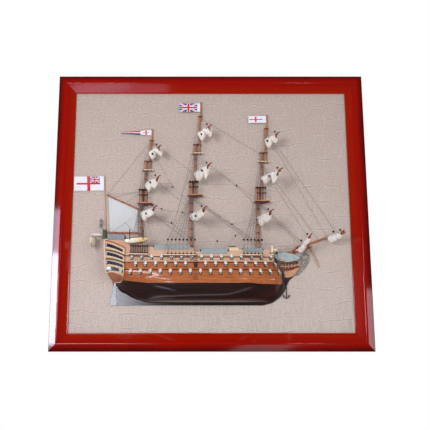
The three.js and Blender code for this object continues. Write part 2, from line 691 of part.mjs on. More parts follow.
const sectionX = (section) => section * MAST_SPACING;
const sectionRadius = [LOWER_RADIUS, TOPMAST_RADIUS, TOPGALLANT_RADIUS];

function upright(x, z0, z1, radius, endRadius = radius) {
    return bar(new THREE.Vector3(x, 0, z0), new THREE.Vector3(x, 0, z1), radius, endRadius, ROUND_SIDES);
}

// A flat piece across two sections of the mast, measured from the mast's axis
function across(x0, x1, reach, z0, z1) {
    return block(x0, x1, -LOWER_RADIUS, reach - LOWER_RADIUS, z0, z1);
}

function topPlatform(level) {
    const shape = new THREE.Shape();
    const fore = TOP_LENGTH - TOP_AFT;
    const round = TOP_LENGTH / 3;
    shape.moveTo(-TOP_AFT, -LOWER_RADIUS);
    shape.lineTo(fore, -LOWER_RADIUS);
    shape.lineTo(fore, TOP_REACH - LOWER_RADIUS - round);
    shape.quadraticCurveTo(fore, TOP_REACH - LOWER_RADIUS, fore - round, TOP_REACH - LOWER_RADIUS);
    shape.lineTo(-TOP_AFT, TOP_REACH - LOWER_RADIUS);
    const slab = { depth: TOP_THICKNESS, bevelEnabled: false, curveSegments: 6 };
    const platform = new THREE.ExtrudeGeometry(shape, slab)
        .scale(1, -1, 1)
        .translate(0, 0, level);
    const hole = upright(0, level - TOP_THICKNESS, level + 2 * TOP_THICKNESS, LOWER_RADIUS + GAP);
    return cut(geometryOf(solidOf(platform)), hole);
}

// A cap that joins the head of one section to the section ahead of it
function capBetween(section, level, reach, radius, aheadRadius) {
    return across(
        sectionX(section) - radius - CAP_MARGIN,
        sectionX(section + 1) + aheadRadius + CAP_MARGIN,
        reach, level, level + CAP_THICKNESS);
}

function buildMast(mast) {
    const { name, x, lean } = mast;
    const [top, crosstrees, pole, truck] = mastLevels(mast);
    const group = new THREE.Group();
    group.position.set(x, -LOWER_RADIUS, 0);
    group.rotation.y = radians(lean);

    const foot = topAt(x - LOWER_RADIUS) - DECK_DROP + GAP + LOWER_RADIUS * Math.sin(radians(lean));
    const lowerCap = top + LOWER_HEAD;
    const upperCap = crosstrees + TOPMAST_HEAD;
    const heel = top + TOP_THICKNESS + GAP;
    const upperHeel = crosstrees + CROSSTREE_THICKNESS + GAP;
    const hole = (section, cap, radius) =>
        upright(sectionX(section), cap - CAP_THICKNESS, cap + 2 * CAP_THICKNESS, radius + GAP);

    const lower = cut(
        join(
            upright(0, foot, lowerCap + GAP, LOWER_RADIUS, LOWER_RADIUS * MAST_TAPER),
            capBetween(0, lowerCap, CAP_REACH, LOWER_RADIUS, TOPMAST_RADIUS)),
        hole(1, lowerCap, TOPMAST_RADIUS));
    group.add(mesh(`lower_mast_${name}`, lower, mastWood));
    group.add(mesh(`top_${name}`, topPlatform(top), topWood));

    const topmast = join(
        upright(sectionX(1), heel, upperCap + GAP, TOPMAST_RADIUS, TOPMAST_RADIUS * MAST_TAPER),
        across(sectionX(1) - CROSSTREE_LENGTH / 3, sectionX(1) + 2 * CROSSTREE_LENGTH / 3, CROSSTREE_REACH,
            crosstrees, crosstrees + CROSSTREE_THICKNESS),
        cut(
            capBetween(1, upperCap, UPPER_CAP_REACH, TOPMAST_RADIUS, TOPGALLANT_RADIUS),
            hole(2, upperCap, TOPGALLANT_RADIUS)));
    group.add(mesh(`topmast_${name}`, topmast, mastWood));

    const poleX = sectionX(2) + POLE_SPACING;
    const topgallant = join(
        upright(sectionX(2), upperHeel, pole, TOPGALLANT_RADIUS, TOPGALLANT_RADIUS * MAST_TAPER),
        across(sectionX(2) - TOPGALLANT_RADIUS, poleX + POLE_RADIUS + CAP_MARGIN, POLE_CAP_REACH,
            pole - CAP_THICKNESS, pole),
        upright(poleX, pole - POLE_HEEL, truck, POLE_RADIUS, POLE_RADIUS * MAST_TAPER));
    group.add(mesh(`topgallant_mast_${name}`, topgallant, mastWood));

    YARDS[name].forEach((yard, section) =>
        group.add(buildYard(name, section, [top, crosstrees, pole][section] - yard.below, yard)));
    return group;
}

// Yards stand out from the linen and are braced forward; each carries its sail gathered below it

function yardGeometry(reach) {
    const yard = new THREE.CylinderGeometry(YARD_ROOT, YARD_TIP, reach, SMALL_SIDES)
        .translate(0, -reach / 2, 0);
    const boom = bar(
        new THREE.Vector3(YARD_TIP, -BOOM_START * reach, YARD_TIP / 2),
        new THREE.Vector3(YARD_TIP + BOOM_SPREAD / 2, -BOOM_END * reach, BOOM_SPREAD),
        BOOM_RADIUS);
    return join(yard, boom);
}

// Cloth gathered under a yard, from one distance along it to the other: its lower edge hangs in festoons
function gatheredSail(from, to, drop, rise = 0) {
    const along = (u) => lerp(from, to, u);
    const festoon = (u) => Math.abs(Math.sin(SAIL_FESTOONS * Math.PI * u)) ** FESTOON_CURVE;
    const depth = (u) => SAIL_HEAD + drop * lerp(0.7, 1.3, u) * festoon(u);
    const sheet = (side) => (u, v) => new THREE.Vector3(
        side * SAIL_THICKNESS / 2 * Math.sin(Math.PI * lerp(0.15, 0.85, v)),
        -along(u) * Math.cos(rise),
        along(u) * Math.sin(rise) - (YARD_ROOT + GAP) / Math.cos(rise) - v * depth(u));
    return geometryOf(solidOf(between(sheet(1), sheet(-1), SAIL_STEPS, 2)));
}

function buildYard(mastName, section, level, { name, reach, brace }) {
    const group = new THREE.Group();
    const angle = radians(brace);
    const start = sectionRadius[section] + GAP;
    const length = (reach - LOWER_RADIUS) / Math.cos(angle) - start;
    const capClear = (CAP_REACH + SAIL_CLEAR - LOWER_RADIUS) / Math.cos(angle) - start;
    group.position.set(sectionX(section) + start * Math.sin(angle), -start * Math.cos(angle), level);
    group.rotation.z = angle;
    group.add(mesh(`yard_${mastName}_${name}`, yardGeometry(length), sparWood));
    const sail = gatheredSail(capClear, SAIL_END * length, SAIL_DROP);
    group.add(mesh(`sail_${mastName}_${name}`, sail, sailCloth));
    return group;
}

// Bowsprit, jibboom above it, the two spritsail yards and the dolphin striker

function buildBowsprit() {
    const group = new THREE.Group();
    group.position.set(BOWSPRIT_HEEL, -BOWSPRIT_RADIUS, BOWSPRIT_LEVEL);
    group.rotation.y = -radians(BOWSPRIT_STEEVE);
    const axis = (x, z) => new THREE.Vector3(x, 0, z);
    const spar = bar(
        axis(0, 0), axis(BOWSPRIT_LENGTH - GAP, 0),
        BOWSPRIT_RADIUS, BOWSPRIT_RADIUS * MAST_TAPER, ROUND_SIDES);
    const cap = block(
        BOWSPRIT_LENGTH - CAP_THICKNESS, BOWSPRIT_LENGTH,
        -BOWSPRIT_RADIUS, BOWSPRIT_RADIUS,
        -BOWSPRIT_RADIUS, JIBBOOM_LIFT + JIBBOOM_RADIUS + CAP_MARGIN);
    const hole = bar(
        axis(BOWSPRIT_LENGTH - 2 * CAP_THICKNESS, JIBBOOM_LIFT),
        axis(BOWSPRIT_LENGTH + CAP_THICKNESS, JIBBOOM_LIFT),
        JIBBOOM_RADIUS + GAP, JIBBOOM_RADIUS + GAP, ROUND_SIDES);
    group.add(mesh("bowsprit", cut(join(spar, cap), hole), sparWood));

    const jibboom = bar(
        axis(JIBBOOM_HEEL, JIBBOOM_LIFT), axis(JIBBOOM_HEEL + JIBBOOM_LENGTH, JIBBOOM_LIFT),
        JIBBOOM_RADIUS, JIBBOOM_RADIUS * JIBBOOM_TAPER, ROUND_SIDES);
    group.add(mesh("jibboom", jibboom, sparWood));

    const turn = radians(STRIKER_ANGLE - BOWSPRIT_STEEVE);
    const head = axis(BOWSPRIT_LENGTH + 2 * STRIKER_RADIUS, BOWSPRIT_RADIUS - STRIKER_RADIUS);
    const foot = head.clone().add(axis(STRIKER_LENGTH * Math.sin(turn), -STRIKER_LENGTH * Math.cos(turn)));
    group.add(mesh("dolphin_striker", bar(head, foot, STRIKER_RADIUS, STRIKER_RADIUS / 3), paleWood));
    return group;
}

// A spritsail yard stands out from the spar that carries it, rising and braced forward
function buildSpritsail({ name, onJibboom, along, reach, rise, brace, drop }) {
    const group = new THREE.Group();
    const steeve = radians(BOWSPRIT_STEEVE);
    const radius = onJibboom ? JIBBOOM_RADIUS : BOWSPRIT_RADIUS;
    const lift = onJibboom ? JIBBOOM_LIFT : 0;
    const [rising, braced] = [radians(rise), radians(brace)];
    const start = radius + GAP + YARD_ROOT * Math.sin(rising + braced);
    group.position.set(
        BOWSPRIT_HEEL + along * Math.cos(steeve) - lift * Math.sin(steeve) + start * Math.sin(braced),
        -BOWSPRIT_RADIUS - start * Math.cos(braced),
        BOWSPRIT_LEVEL + along * Math.sin(steeve) + lift * Math.cos(steeve));
    group.rotation.z = braced;
    const length = ((reach - BOWSPRIT_RADIUS) / Math.cos(braced) - start) / Math.cos(rising);
    const yard = mesh(`yard_${name}`, yardGeometry(length), sparWood);
    yard.rotation.x = -rising;
    group.add(yard);
    group.add(mesh(`sail_${name}`, gatheredSail(SAIL_CLEAR, SAIL_END * length, drop, rising), sailCloth));
    return group;
}

// Driver: gaff and boom abaft the mizzen mast, with the sail set between them

function buildDriver() {
    const group = new THREE.Group();
    const [mizzen] = MASTS;
    const out = DRIVER_SPAR_RADIUS;
    const jawX = mizzen.x - LOWER_RADIUS - GAP - JAW_CLEAR;
    const jaw = new THREE.Vector3(jawX, -out, mastLevels(mizzen)[0] - GAFF_DROP);
    const peak = new THREE.Vector3(GAFF_PEAK.x, -out, jaw.z + GAFF_PEAK.rise);
    const boomFore = new THREE.Vector3(jawX - JAW_CLEAR, -out, DRIVER_BOOM_LEVEL);
    const boomEnd = new THREE.Vector3(DRIVER_BOOM_END, -out, DRIVER_BOOM_LEVEL);
    const spar = (from, to) => bar(from, to, DRIVER_SPAR_RADIUS, DRIVER_SPAR_RADIUS * DRIVER_SPAR_TAPER);
    group.add(mesh("driver_gaff", spar(jaw, peak), sparWood));
    group.add(mesh("driver_boom", spar(boomFore, boomEnd), sparWood));
    const slope = (peak.z - jaw.z) / (peak.x - jaw.x);
    const headAt = (x) => jaw.z + slope * (x - jaw.x) - (DRIVER_SPAR_RADIUS + GAP) * Math.hypot(1, slope);
    const foot = DRIVER_BOOM_LEVEL + DRIVER_SPAR_RADIUS + GAP;
    const { tack, throat, peak: peakInset, clew } = DRIVER_INSETS;
    const sail = plate([
        [jaw.x - tack, foot],
        [jaw.x - throat, headAt(jaw.x - throat)],
        [peak.x + peakInset, headAt(peak.x + peakInset)],
        [DRIVER_BOOM_END + clew, foot],
    ], out - CLOTH / 2, out + CLOTH / 2);
    group.add(mesh("driver_sail", sail, sailCloth));
    return group;
}

// Flags lie almost flat and stream aft from their staffs

function buildFlags() {
    const group = new THREE.Group();
    const out = STAFF_RADIUS;
    const head = new THREE.Vector3(STAFF_HEAD.x, -out, STAFF_HEAD.z);
    const foot = new THREE.Vector3(STAFF_FOOT.x, -out, STAFF_FOOT.z);
    const staff = bar(foot, head, STAFF_RADIUS, STAFF_RADIUS * STAFF_TAPER);
    group.add(mesh("ensign_staff", staff, paleWood));
    const slant = (head.x - foot.x) / (head.z - foot.z);
    const hoistX = (z) => foot.x + slant * (z - foot.z) - STAFF_RADIUS - GAP;
    const ensignFoot = head.z - ENSIGN.height;
    group.add(mesh("flag_ensign", plate([
        [hoistX(head.z), head.z],
        [hoistX(head.z) - ENSIGN.length, head.z - 1],
        [hoistX(head.z) - ENSIGN.length + 1.5, ensignFoot - 1],
        [hoistX(ensignFoot), ensignFoot],
    ], out - CLOTH / 2, out + CLOTH / 2), flagCloth));
    MAST_FLAGS.forEach(({ name, mast: carrier, length, height, fly }) => {
        const mast = MASTS.find((candidate) => candidate.name === carrier);
        const lean = Math.tan(radians(mast.lean));
        const poleX = (z) => mast.x + sectionX(2) + POLE_SPACING + lean * z - POLE_RADIUS - GAP;
        const high = mastLevels(mast)[3] - FLAG_BELOW;
        const low = high - height;
        const middle = (high + low) / 2;
        group.add(mesh(name, plate([
            [poleX(high), high],
            [poleX(high) - length, middle + fly / 2],
            [poleX(high) - length, middle - fly / 2],
            [poleX(low), low],
        ], LOWER_RADIUS - CLOTH / 2, LOWER_RADIUS + CLOTH / 2), flagCloth));
    });
    return group;
}

// Open boats: a rounded hull with a hollow inside. Length along X, keel at z = 0
function boatShell(length, beam, depth, wall) {
    const form = (inset) => {
        const half = beam / 2 - inset;
        const toEnd = (u) => Math.abs(2 * u - 1);
        const width = (u) => half * Math.max(BOAT_FORM.end, 1 - toEnd(u) ** BOAT_FORM.plan);
        const x = (u) => lerp(inset - length / 2, length / 2 - inset, u);
        const keel = (u) => inset + (depth - inset) * BOAT_FORM.rise * toEnd(u) ** 3;
        const rim = depth + (inset ? wall : 0);
        const side = (sign) => (u, v) => new THREE.Vector3(
            x(u),
            sign * width(u) * Math.sqrt(1 - (1 - v) ** BOAT_FORM.section),
            lerp(keel(u), rim, v));
        return between(side(-1), side(1), BOAT_STEPS, 3);
    };
    return cut(form(0), form(wall));
}

function buildBoats() {
    const group = new THREE.Group();
    const { length, beam, depth, x, keel, clear, trim } = QUARTER_BOAT;
    const quarter = mesh("quarter_boat", boatShell(length, beam, depth, BOAT_WALL), boatPaint);
    quarter.position.set(x, -(breadthAt(x, keel) + clear + beam / 2), keel);
    quarter.rotation.y = -radians(trim);
    const hung = DAVIT.level - DAVIT.thickness - STERN_BOAT.fall - STERN_BOAT.depth;
    const shell = boatShell(STERN_BOAT.length, STERN_BOAT.beam, STERN_BOAT.depth, BOAT_WALL);
    const stern = mesh("stern_boat", shell, boatPaint);
    stern.rotation.z = Math.PI / 2;
    stern.position.set(STERN_BOAT.x, -STERN_BOAT.length / 2 - GAP, hung);
    group.add(quarter, stern);
    return group;
}

// Head of the ship: curved rails from the bow, the carved figurehead, and the anchor against the stem

function buildHeadRails() {
    const { aft, fore, foot, height, rise, spread, thickness } = HEAD_RAILS;
    const sheet = (outer) => (u, k) => {
        const { up, rail } = HEAD_ROWS[k];
        const depth = lerp(KEEL_HALF + spread, KEEL_HALF + 2, u ** 0.7);
        return new THREE.Vector3(
            lerp(aft, fore, u),
            -(depth + (outer ? thickness + rail : 0)),
            foot + rise * u ** 1.6 + up * height * lerp(1, 0.7, u));
    };
    return between(sheet(true), sheet(false), HEAD_STEPS, HEAD_ROWS.map((_, k) => k));
}

function buildFigurehead() {
    const inner = KNEE_EDGE.map(([x, z]) => new THREE.Vector2(x + 2 * GAP, z - GAP));
    const outer = FIGUREHEAD.map((point) => new THREE.Vector2(...point));
    const shape = new THREE.Shape([...inner, ...new THREE.SplineCurve(outer).getPoints(20)]);
    const core = new THREE.ExtrudeGeometry(shape, {
        depth: FIGUREHEAD_THICKNESS - 2 * FIGUREHEAD_EDGE,
        bevelThickness: FIGUREHEAD_EDGE,
        bevelSize: FIGUREHEAD_EDGE,
        bevelOffset: -FIGUREHEAD_EDGE,
        bevelSegments: 1,
    });
    core.rotateX(Math.PI / 2).translate(STEM_X, -FIGUREHEAD_EDGE, BEAKHEAD_LEVEL);
    return geometryOf(solidOf(core));
}

function anchorGeometry() {
    const { x, ring, length, span, shank, stock } = ANCHOR;
    const out = KEEL_HALF + GAP + shank;
    const point = (dx, dz) => new THREE.Vector3(x + dx, -out, ring + dz);
    const sides = [-1, 1];
    const tips = sides.map((side) => point(side * span / 2, shank - length + span / 3));
    const arms = tips.map((tip) => bar(point(0, -length), tip, shank, shank * 0.6));
    const flukes = tips.map((tip, i) => new THREE.BoxGeometry(span / 4, shank, span / 4)
        .rotateY(sides[i] * Math.PI / 4)
        .translate(...tip.toArray()));
    const [stockAft, stockFore] = sides.map((side) => point(side * stock / 2, -length / 5));
    const stem = bar(point(0, 0), point(0, -length), shank);
    return join(stem, ...arms, ...flukes, bar(stockAft, stockFore, shank));
}

function buildShip() {
    const ship = new THREE.Group();
    ship.position.set(SHIP_X, -SEAT, KEEL_Z);
    ship.add(mesh("half_hull", buildHull(), hullWood));
    ship.add(mesh("rudder", buildRudder(), hullWood));
    ship.add(mesh("quarter_gallery", geometryOf(solidOf(buildGallery())), paleWood));
    MASTS.forEach((mast) => ship.add(buildMast(mast)));
    SPRITSAILS.forEach((spec) => ship.add(buildSpritsail(spec)));
    ship.add(buildBowsprit(), buildDriver(), buildFlags(), buildBoats());
    ship.add(mesh("head_rails", geometryOf(solidOf(buildHeadRails())), sparWood));
    ship.add(mesh("figurehead", buildFigurehead(), silver));
    ship.add(mesh("anchor", anchorGeometry(), iron));
    return ship;
}

const model = new THREE.Group();
model.add(buildFrame(), buildShip());

export default model;
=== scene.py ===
# Looks of a framed half model of a three-decked sailing warship.
# Sizes are millimetres. In ship coordinates x runs forward from the rudder's foot, z up from the
# keel, and out is the distance from the linen towards the viewer, which is -y.
import math
import random

import bmesh
import bpy
from mathutils import Matrix, Vector, noise


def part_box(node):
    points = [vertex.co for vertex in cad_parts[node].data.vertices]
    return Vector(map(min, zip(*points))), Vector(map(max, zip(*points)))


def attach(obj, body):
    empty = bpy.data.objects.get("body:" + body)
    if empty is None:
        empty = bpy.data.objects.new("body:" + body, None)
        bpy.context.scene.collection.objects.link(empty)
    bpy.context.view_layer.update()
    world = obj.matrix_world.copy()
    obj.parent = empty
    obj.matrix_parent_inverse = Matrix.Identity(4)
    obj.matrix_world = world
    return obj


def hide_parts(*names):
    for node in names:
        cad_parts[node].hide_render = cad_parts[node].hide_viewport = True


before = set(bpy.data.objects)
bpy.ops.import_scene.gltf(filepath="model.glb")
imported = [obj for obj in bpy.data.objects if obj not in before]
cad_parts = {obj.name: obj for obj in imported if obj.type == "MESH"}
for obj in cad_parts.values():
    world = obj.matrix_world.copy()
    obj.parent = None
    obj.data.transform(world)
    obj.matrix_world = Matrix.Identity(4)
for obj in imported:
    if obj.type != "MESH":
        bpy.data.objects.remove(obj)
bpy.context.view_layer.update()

MM = 0.001
scene = bpy.context.scene


def corners_of(node):
    """The lowest and the highest corner of a solid, in millimetres."""
    return [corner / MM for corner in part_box(node)]


# Frame and ground, read from the solids
RAIL_LOW, RAIL_HIGH = corners_of("frame_rail_bottom")
LINEN_LOW, LINEN_HIGH = corners_of("linen_ground")
FRAME_WIDTH = RAIL_HIGH.x - RAIL_LOW.x
FRAME_HEIGHT = corners_of("frame_rail_top")[1].z - RAIL_LOW.z
MEMBER_WIDTH = 49
EDGE_DEPTH = 26
RIDGE_DEPTH = 36
RIDGE_INSET = 23
LIP_DEPTH = 16.5
LIP_WIDTH = 3
REBATE = 14
GAP = 0.3

# Hull
STERNPOST_FOOT = 22
STERNPOST_HEAD = 17
RUDDER_LOW, RUDDER_HIGH = corners_of("rudder")
SHIP_X = RUDDER_HIGH.x - (STERNPOST_FOOT - GAP)
SEAT = -RUDDER_HIGH.y
KEEL_Z = RUDDER_LOW.z
STEM_X = 483
BEAKHEAD_X = 456
TAFFRAIL_X = -11
HALF_BREADTH = 66
KEEL_HALF = 3.2
KEEL_DEPTH = 6
KEEL_EDGE = 0.5
KEEL_SKIN = 0.06
BEAM_LEVEL = 68
WATERLINE = 63
WALE_LEVEL = 71
STRAKE = 4.2
LOWER_STRIPE = 95.5
UPPER_STRIPE = 115.5
BEAKHEAD_LEVEL = 110
RAIL_LEVEL = 133
RAIL_SHEER = 7.5
SHEER_START = 230
TUMBLEHOME = 0.27
PARALLEL_AFT = 190
PARALLEL_FORE = 320
BULWARK = 3
DECK_DROP = 9
NETTING_WIDTH = 5
DECKS = [
    {"end": 94, "top": 176, "netting": (-4, 44, 16)},
    {"end": 230, "top": 155, "netting": (127, 225, 9)},
    {"end": 332, "top": 143, "netting": (255, 327, 11)},
    {"end": 456, "top": 148, "netting": (369, 424, 7)},
]

# Gun ports: first port, how many, height of the gun
PORT_PITCH = 27
PORT_ROWS = [(64, 16, 86), (78, 15, 107), (67, 15, 126)]
ENTRY = (1, 6)
LID = (7.5, 10, 1.2)
LID_OPEN = 28
HINGE_RISE = 12

# Masts: x at the deck, lean, heights of platform, crosstrees, pole and truck, channel aft and fore,
# and the number of lower shrouds
LOWER_RADIUS = 5.5
TOPMAST_RADIUS = 4
TOPGALLANT_RADIUS = 3.3
SECTION_RADII = [LOWER_RADIUS, TOPMAST_RADIUS, TOPGALLANT_RADIUS]
POLE_RADIUS = 2
SPACING = 12
POLE_X = 29
LOWER_HEAD = 40
TOPMAST_HEAD = 26
TOP_SHROUDS = (-3, 19)
MASTS = {
    "mizzen": {"x": 85, "lean": 0, "levels": (284, 382, 474, 506), "channel": (27, 27), "shrouds": 8},
    "main": {"x": 227, "lean": 0, "levels": (307, 432, 547, 588), "channel": (76, 14), "shrouds": 8},
    "fore": {"x": 415, "lean": 0.5, "levels": (290, 407, 510, 549), "channel": (50, 9), "shrouds": 6},
}

# Yards: mast, section, name, level, reach and brace angle, then how its sail is gathered: the inner
# and the outer lobe as centre, half width and drop along the yard, the sway of the outer lobe, the
# drop between the lobes, and where a block hangs on its face
YARDS = [
    ("mizzen", 0, "crossjack", 260, 82, 30, (0.16, 0.22, 14), (0.62, 0.4, 7), -2, 14, (0.54, -10)),
    ("mizzen", 1, "topsail", 344, 80, 28, (0.2, 0.24, 19), (0.76, 0.3, 16), 1, 9, (0.57, -6)),
    ("mizzen", 2, "topgallant", 438, 55, 29.5, (0.2, 0.3, 18), (0.9, 0.2, 14), 13, 9, (0.53, -14)),
    ("main", 0, "course", 253, 110, 19, (0.3, 0.36, 7), (0.7, 0.3, 6), 0, 15, (0.54, -12)),
    ("main", 1, "topsail", 376, 96, 22.5, (0.3, 0.36, 22), (0.88, 0.13, 27), -2, 9, (0.66, -9)),
    ("main", 2, "topgallant", 495, 62, 25.5, (0.24, 0.32, 20), (0.88, 0.18, 16), 12, 9, (0.45, -13)),
    ("fore", 0, "course", 245, 112, 11.5, (0.24, 0.2, 20), (0.76, 0.26, 15), 0, 10, (0.1, -8)),
    ("fore", 1, "topsail", 362, 95, 23.5, (0.14, 0.17, 16), (0.87, 0.2, 25), -9, 8, (0.52, -7)),
    ("fore", 2, "topgallant", 474, 62, 24, (0.24, 0.32, 20), (0.88, 0.2, 14), 2, 9, (0.32, -9)),
]
YARD_ROOT = 2.6
YARD_TIP = 1.5

# Bowsprit and its yards
BOWSPRIT = {"heel": 462, "level": 131, "radius": 5, "steeve": 18, "length": 102}
JIBBOOM = {"heel": 66, "length": 148, "radius": 3, "lift": 8.3}
SPRITSAILS = [
    ("spritsail", 0, 68, 86, 22, 13, (0.34, 0.26, 9), (0.8, 0.2, 5), 0, 8, (0.5, 8)),
    ("sprit_topsail", JIBBOOM["lift"], 163, 60, 7, 25, (0.3, 0.35, 9), (0.82, 0.2, 6), 0, 9, (0.5, 9)),
]

SHIP = Matrix.Translation((SHIP_X, -SEAT, KEEL_Z))
ROOM = Matrix.Identity(4)
chance = random.Random(1805)


def lerp(a, b, share):
    return a + (b - a) * share


def clamp(value, low=0.0, high=1.0):
    return min(max(value, low), high)


def smoothstep(value, low, high):
    share = clamp((value - low) / (high - low))
    return share * share * (3 - 2 * share)


def evenly(steps, low=0.0, high=1.0):
    return [lerp(low, high, i / steps) for i in range(steps + 1)]


def profile_at(pairs, level):
    """A value read between the pairs (level, value) of a profile."""
    if level <= pairs[0][0]:
        return pairs[0][1]
    for (low, a), (high, b) in zip(pairs, pairs[1:]):
        if level <= high:
            return lerp(a, b, (level - low) / (high - low))
    return pairs[-1][1]


def spline(points, steps=6):
    """Points of a smooth line through the given ones."""
    line = []
    ends = [points[0], *points, points[-1]]
    for before, a, b, after in zip(ends, ends[1:], ends[2:], ends[3:]):
        for s in evenly(steps)[:-1]:
            line.append([
                0.5 * (2 * q + (r - p) * s + (2 * p - 5 * q + 4 * r - t) * s ** 2
                       + (3 * q - p - 3 * r + t) * s ** 3)
                for p, q, r, t in zip(before, a, b, after)])
    line.append(list(points[-1]))
    return line


def at(x, out, z):
    """A point by its place along the ship, its distance from the linen and its height."""
    return Vector((x, -out, z))


def around(middle, half):
    """The two ends of a span, half its width to either side of its middle."""
    return middle - half, middle + half


def from_stem(points):
    """Points (x, z) whose x is given from the stem."""
    return [(STEM_X + x, z) for x, z in points]


# Mesh helpers

def start_mesh():
    bm = bmesh.new()
    bm.loops.layers.uv.verify()
    return bm


def faces_of(verts):
    return list(dict.fromkeys(face for vert in verts if vert.is_valid for face in vert.link_faces))


def edges_of(verts):
    return list(dict.fromkeys(edge for vert in verts if vert.is_valid for edge in vert.link_edges))


def paint(verts, tone):
    for face in faces_of(verts):
        face.material_index = tone
    return verts


def round_edges(bm, edges, size, segments=2):
    made = bmesh.ops.bevel(
        bm, geom=edges, offset=size, offset_type="OFFSET", segments=segments,
        profile=0.5, affect="EDGES", material=-1, clamp_overlap=True)
    return made["verts"]


def lattice(bm, us, vs, place, tone=0):
    """A grid whose points place(u, v) sets, with u and v kept as its UV map."""
    us, vs = list(us), list(vs)
    wide, high = len(us) - 1, len(vs) - 1
    verts = bmesh.ops.create_grid(bm, x_segments=wide, y_segments=high, size=0.5)["verts"]
    uv = bm.loops.layers.uv.verify()
    spots = {}
    for vert in verts:
        u = us[round((vert.co.x + 0.5) * wide)]
        v = vs[round((vert.co.y + 0.5) * high)]
        spots[vert] = (u, v)
        vert.co = place(u, v)
    for face in faces_of(verts):
        face.material_index = tone
        for loop in face.loops:
            loop[uv].uv = spots[loop.vert]
    return verts


def close_and_turn(bm, verts):
    """Merges a swept shape's seams, closes its ends and turns its faces outwards."""
    bmesh.ops.remove_doubles(bm, verts=verts, dist=1e-4)
    live = [vert for vert in verts if vert.is_valid]
    open_edges = [edge for edge in edges_of(live) if edge.is_boundary]
    if open_edges:
        bmesh.ops.holes_fill(bm, edges=open_edges, sides=0)
    bmesh.ops.recalc_face_normals(bm, faces=faces_of(live))
    return live


def sweep(bm, stations, section, tone=0):
    """A closed bar: section(s) gives the corners around it at each station."""
    corners = len(section(stations[0]))
    rings = {s: section(s) for s in stations}
    verts = lattice(bm, stations, range(corners + 1), lambda s, k: rings[s][k % corners], tone)
    live = close_and_turn(bm, verts)
    return paint(live, tone)


def rod(bm, start, end, radius, end_radius=None, sides=12, tone=0):
    start, end = Vector(start), Vector(end)
    along = end - start
    turn = along.to_track_quat("Z", "Y").to_matrix().to_4x4()
    made = bmesh.ops.create_cone(
        bm, cap_ends=True, segments=sides, radius1=radius,
        radius2=radius if end_radius is None else end_radius,
        depth=along.length, matrix=Matrix.Translation((start + end) / 2) @ turn)
    return paint(made["verts"], tone)


def rope(bm, points, radius, sides=5, tone=0):
    """A taut line through points, as short rods."""
    for a, b in zip(points, points[1:]):
        rod(bm, a, b, radius, sides=sides, tone=tone)


def block(bm, xs, outs, zs, edge=0.3, tone=0, turn=ROOM):
    size = (abs(xs[1] - xs[0]), abs(outs[1] - outs[0]), abs(zs[1] - zs[0]))
    middle = at(sum(xs) / 2, sum(outs) / 2, sum(zs) / 2)
    made = bmesh.ops.create_cube(
        bm, size=1, matrix=turn @ Matrix.Translation(middle) @ Matrix.Diagonal((*size, 1)))
    verts = made["verts"]
    if edge:
        verts = round_edges(bm, edges_of(verts), min(edge, 0.4 * min(size)))
    return paint(verts, tone)


def ball(bm, centre, radius, stretch=(1, 1, 1), detail=2, tone=0):
    made = bmesh.ops.create_icosphere(
        bm, subdivisions=detail, radius=radius,
        matrix=Matrix.Translation(centre) @ Matrix.Diagonal((*stretch, 1)))
    return paint(made["verts"], tone)


def lathe(bm, profile, matrix=ROOM, sides=16, tone=0):
    """A profile of (radius, height) turned about the z axis, with both ends on the axis."""
    verts = [bm.verts.new((radius, 0, height)) for radius, height in profile]
    edges = [bm.edges.new(pair) for pair in zip(verts, verts[1:])]
    made = bmesh.ops.spin(
        bm, geom=verts + edges, cent=(0, 0, 0), axis=(0, 0, 1), angle=2 * math.pi,
        steps=sides, use_merge=True)
    found = dict.fromkeys([v for g in made["geom_last"] for v in getattr(g, "verts", [g])] + verts)
    spread = list(found)
    while spread:
        for edge in spread.pop().link_edges:
            for vert in edge.verts:
                if vert not in found:
                    found[vert] = True
                    spread.append(vert)
    live = close_and_turn(bm, list(found))
    bmesh.ops.transform(bm, matrix=matrix, verts=live)
    return paint(live, tone)


def plate(bm, points, outs, edge=0.0, tone=0):
    """A flat outline of (x, z) points, given thickness from one distance out to another."""
    near = [bm.verts.new((x, -outs[0], z)) for x, z in points]
    made = bmesh.ops.extrude_face_region(bm, geom=[bm.faces.new(near)])
    far = [item for item in made["geom"] if isinstance(item, bmesh.types.BMVert)]
    bmesh.ops.translate(bm, vec=(0, outs[0] - outs[1], 0), verts=far)
    verts = near + far
    bmesh.ops.recalc_face_normals(bm, faces=faces_of(verts))
    if edge:
        rim = [e for e in edges_of(far) if all(vert in far for vert in e.verts)]
        verts = near + round_edges(bm, rim, edge)
        verts = [vert for vert in verts if vert.is_valid]
    return paint(verts, tone)


def finish_piece(name, bm, finishes, nodes=(), place=SHIP, sharp=30, wall=0.0, inward=True):
    """Turns a bmesh into a piece of the object that rides on it and stands for its solids."""
    bmesh.ops.transform(bm, matrix=Matrix.Scale(MM, 4) @ place, verts=bm.verts)
    mesh = bpy.data.meshes.new(name)
    bm.to_mesh(mesh)
    bm.free()
    for polygon in mesh.polygons:
        polygon.use_smooth = True
    mesh.set_sharp_from_angle(angle=math.radians(sharp))
    piece = bpy.data.objects.new(name, mesh)
    scene.collection.objects.link(piece)
    for material in finishes if isinstance(finishes, (list, tuple)) else [finishes]:
        mesh.materials.append(material)
    if wall:
        thick = piece.modifiers.new("wall", "SOLIDIFY")
        thick.thickness = wall * MM
        thick.offset = -1 if inward else 0
    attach(piece, "root")
    if nodes:
        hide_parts(*nodes)
    return piece


# Shader helpers

def operator(operation, swapped=False):
    """A method that adds one Math node; swapped puts the value itself last."""
    def apply(self, *others):
        return self.maths(operation, *((*others, self) if swapped else (self, *others)))
    return apply


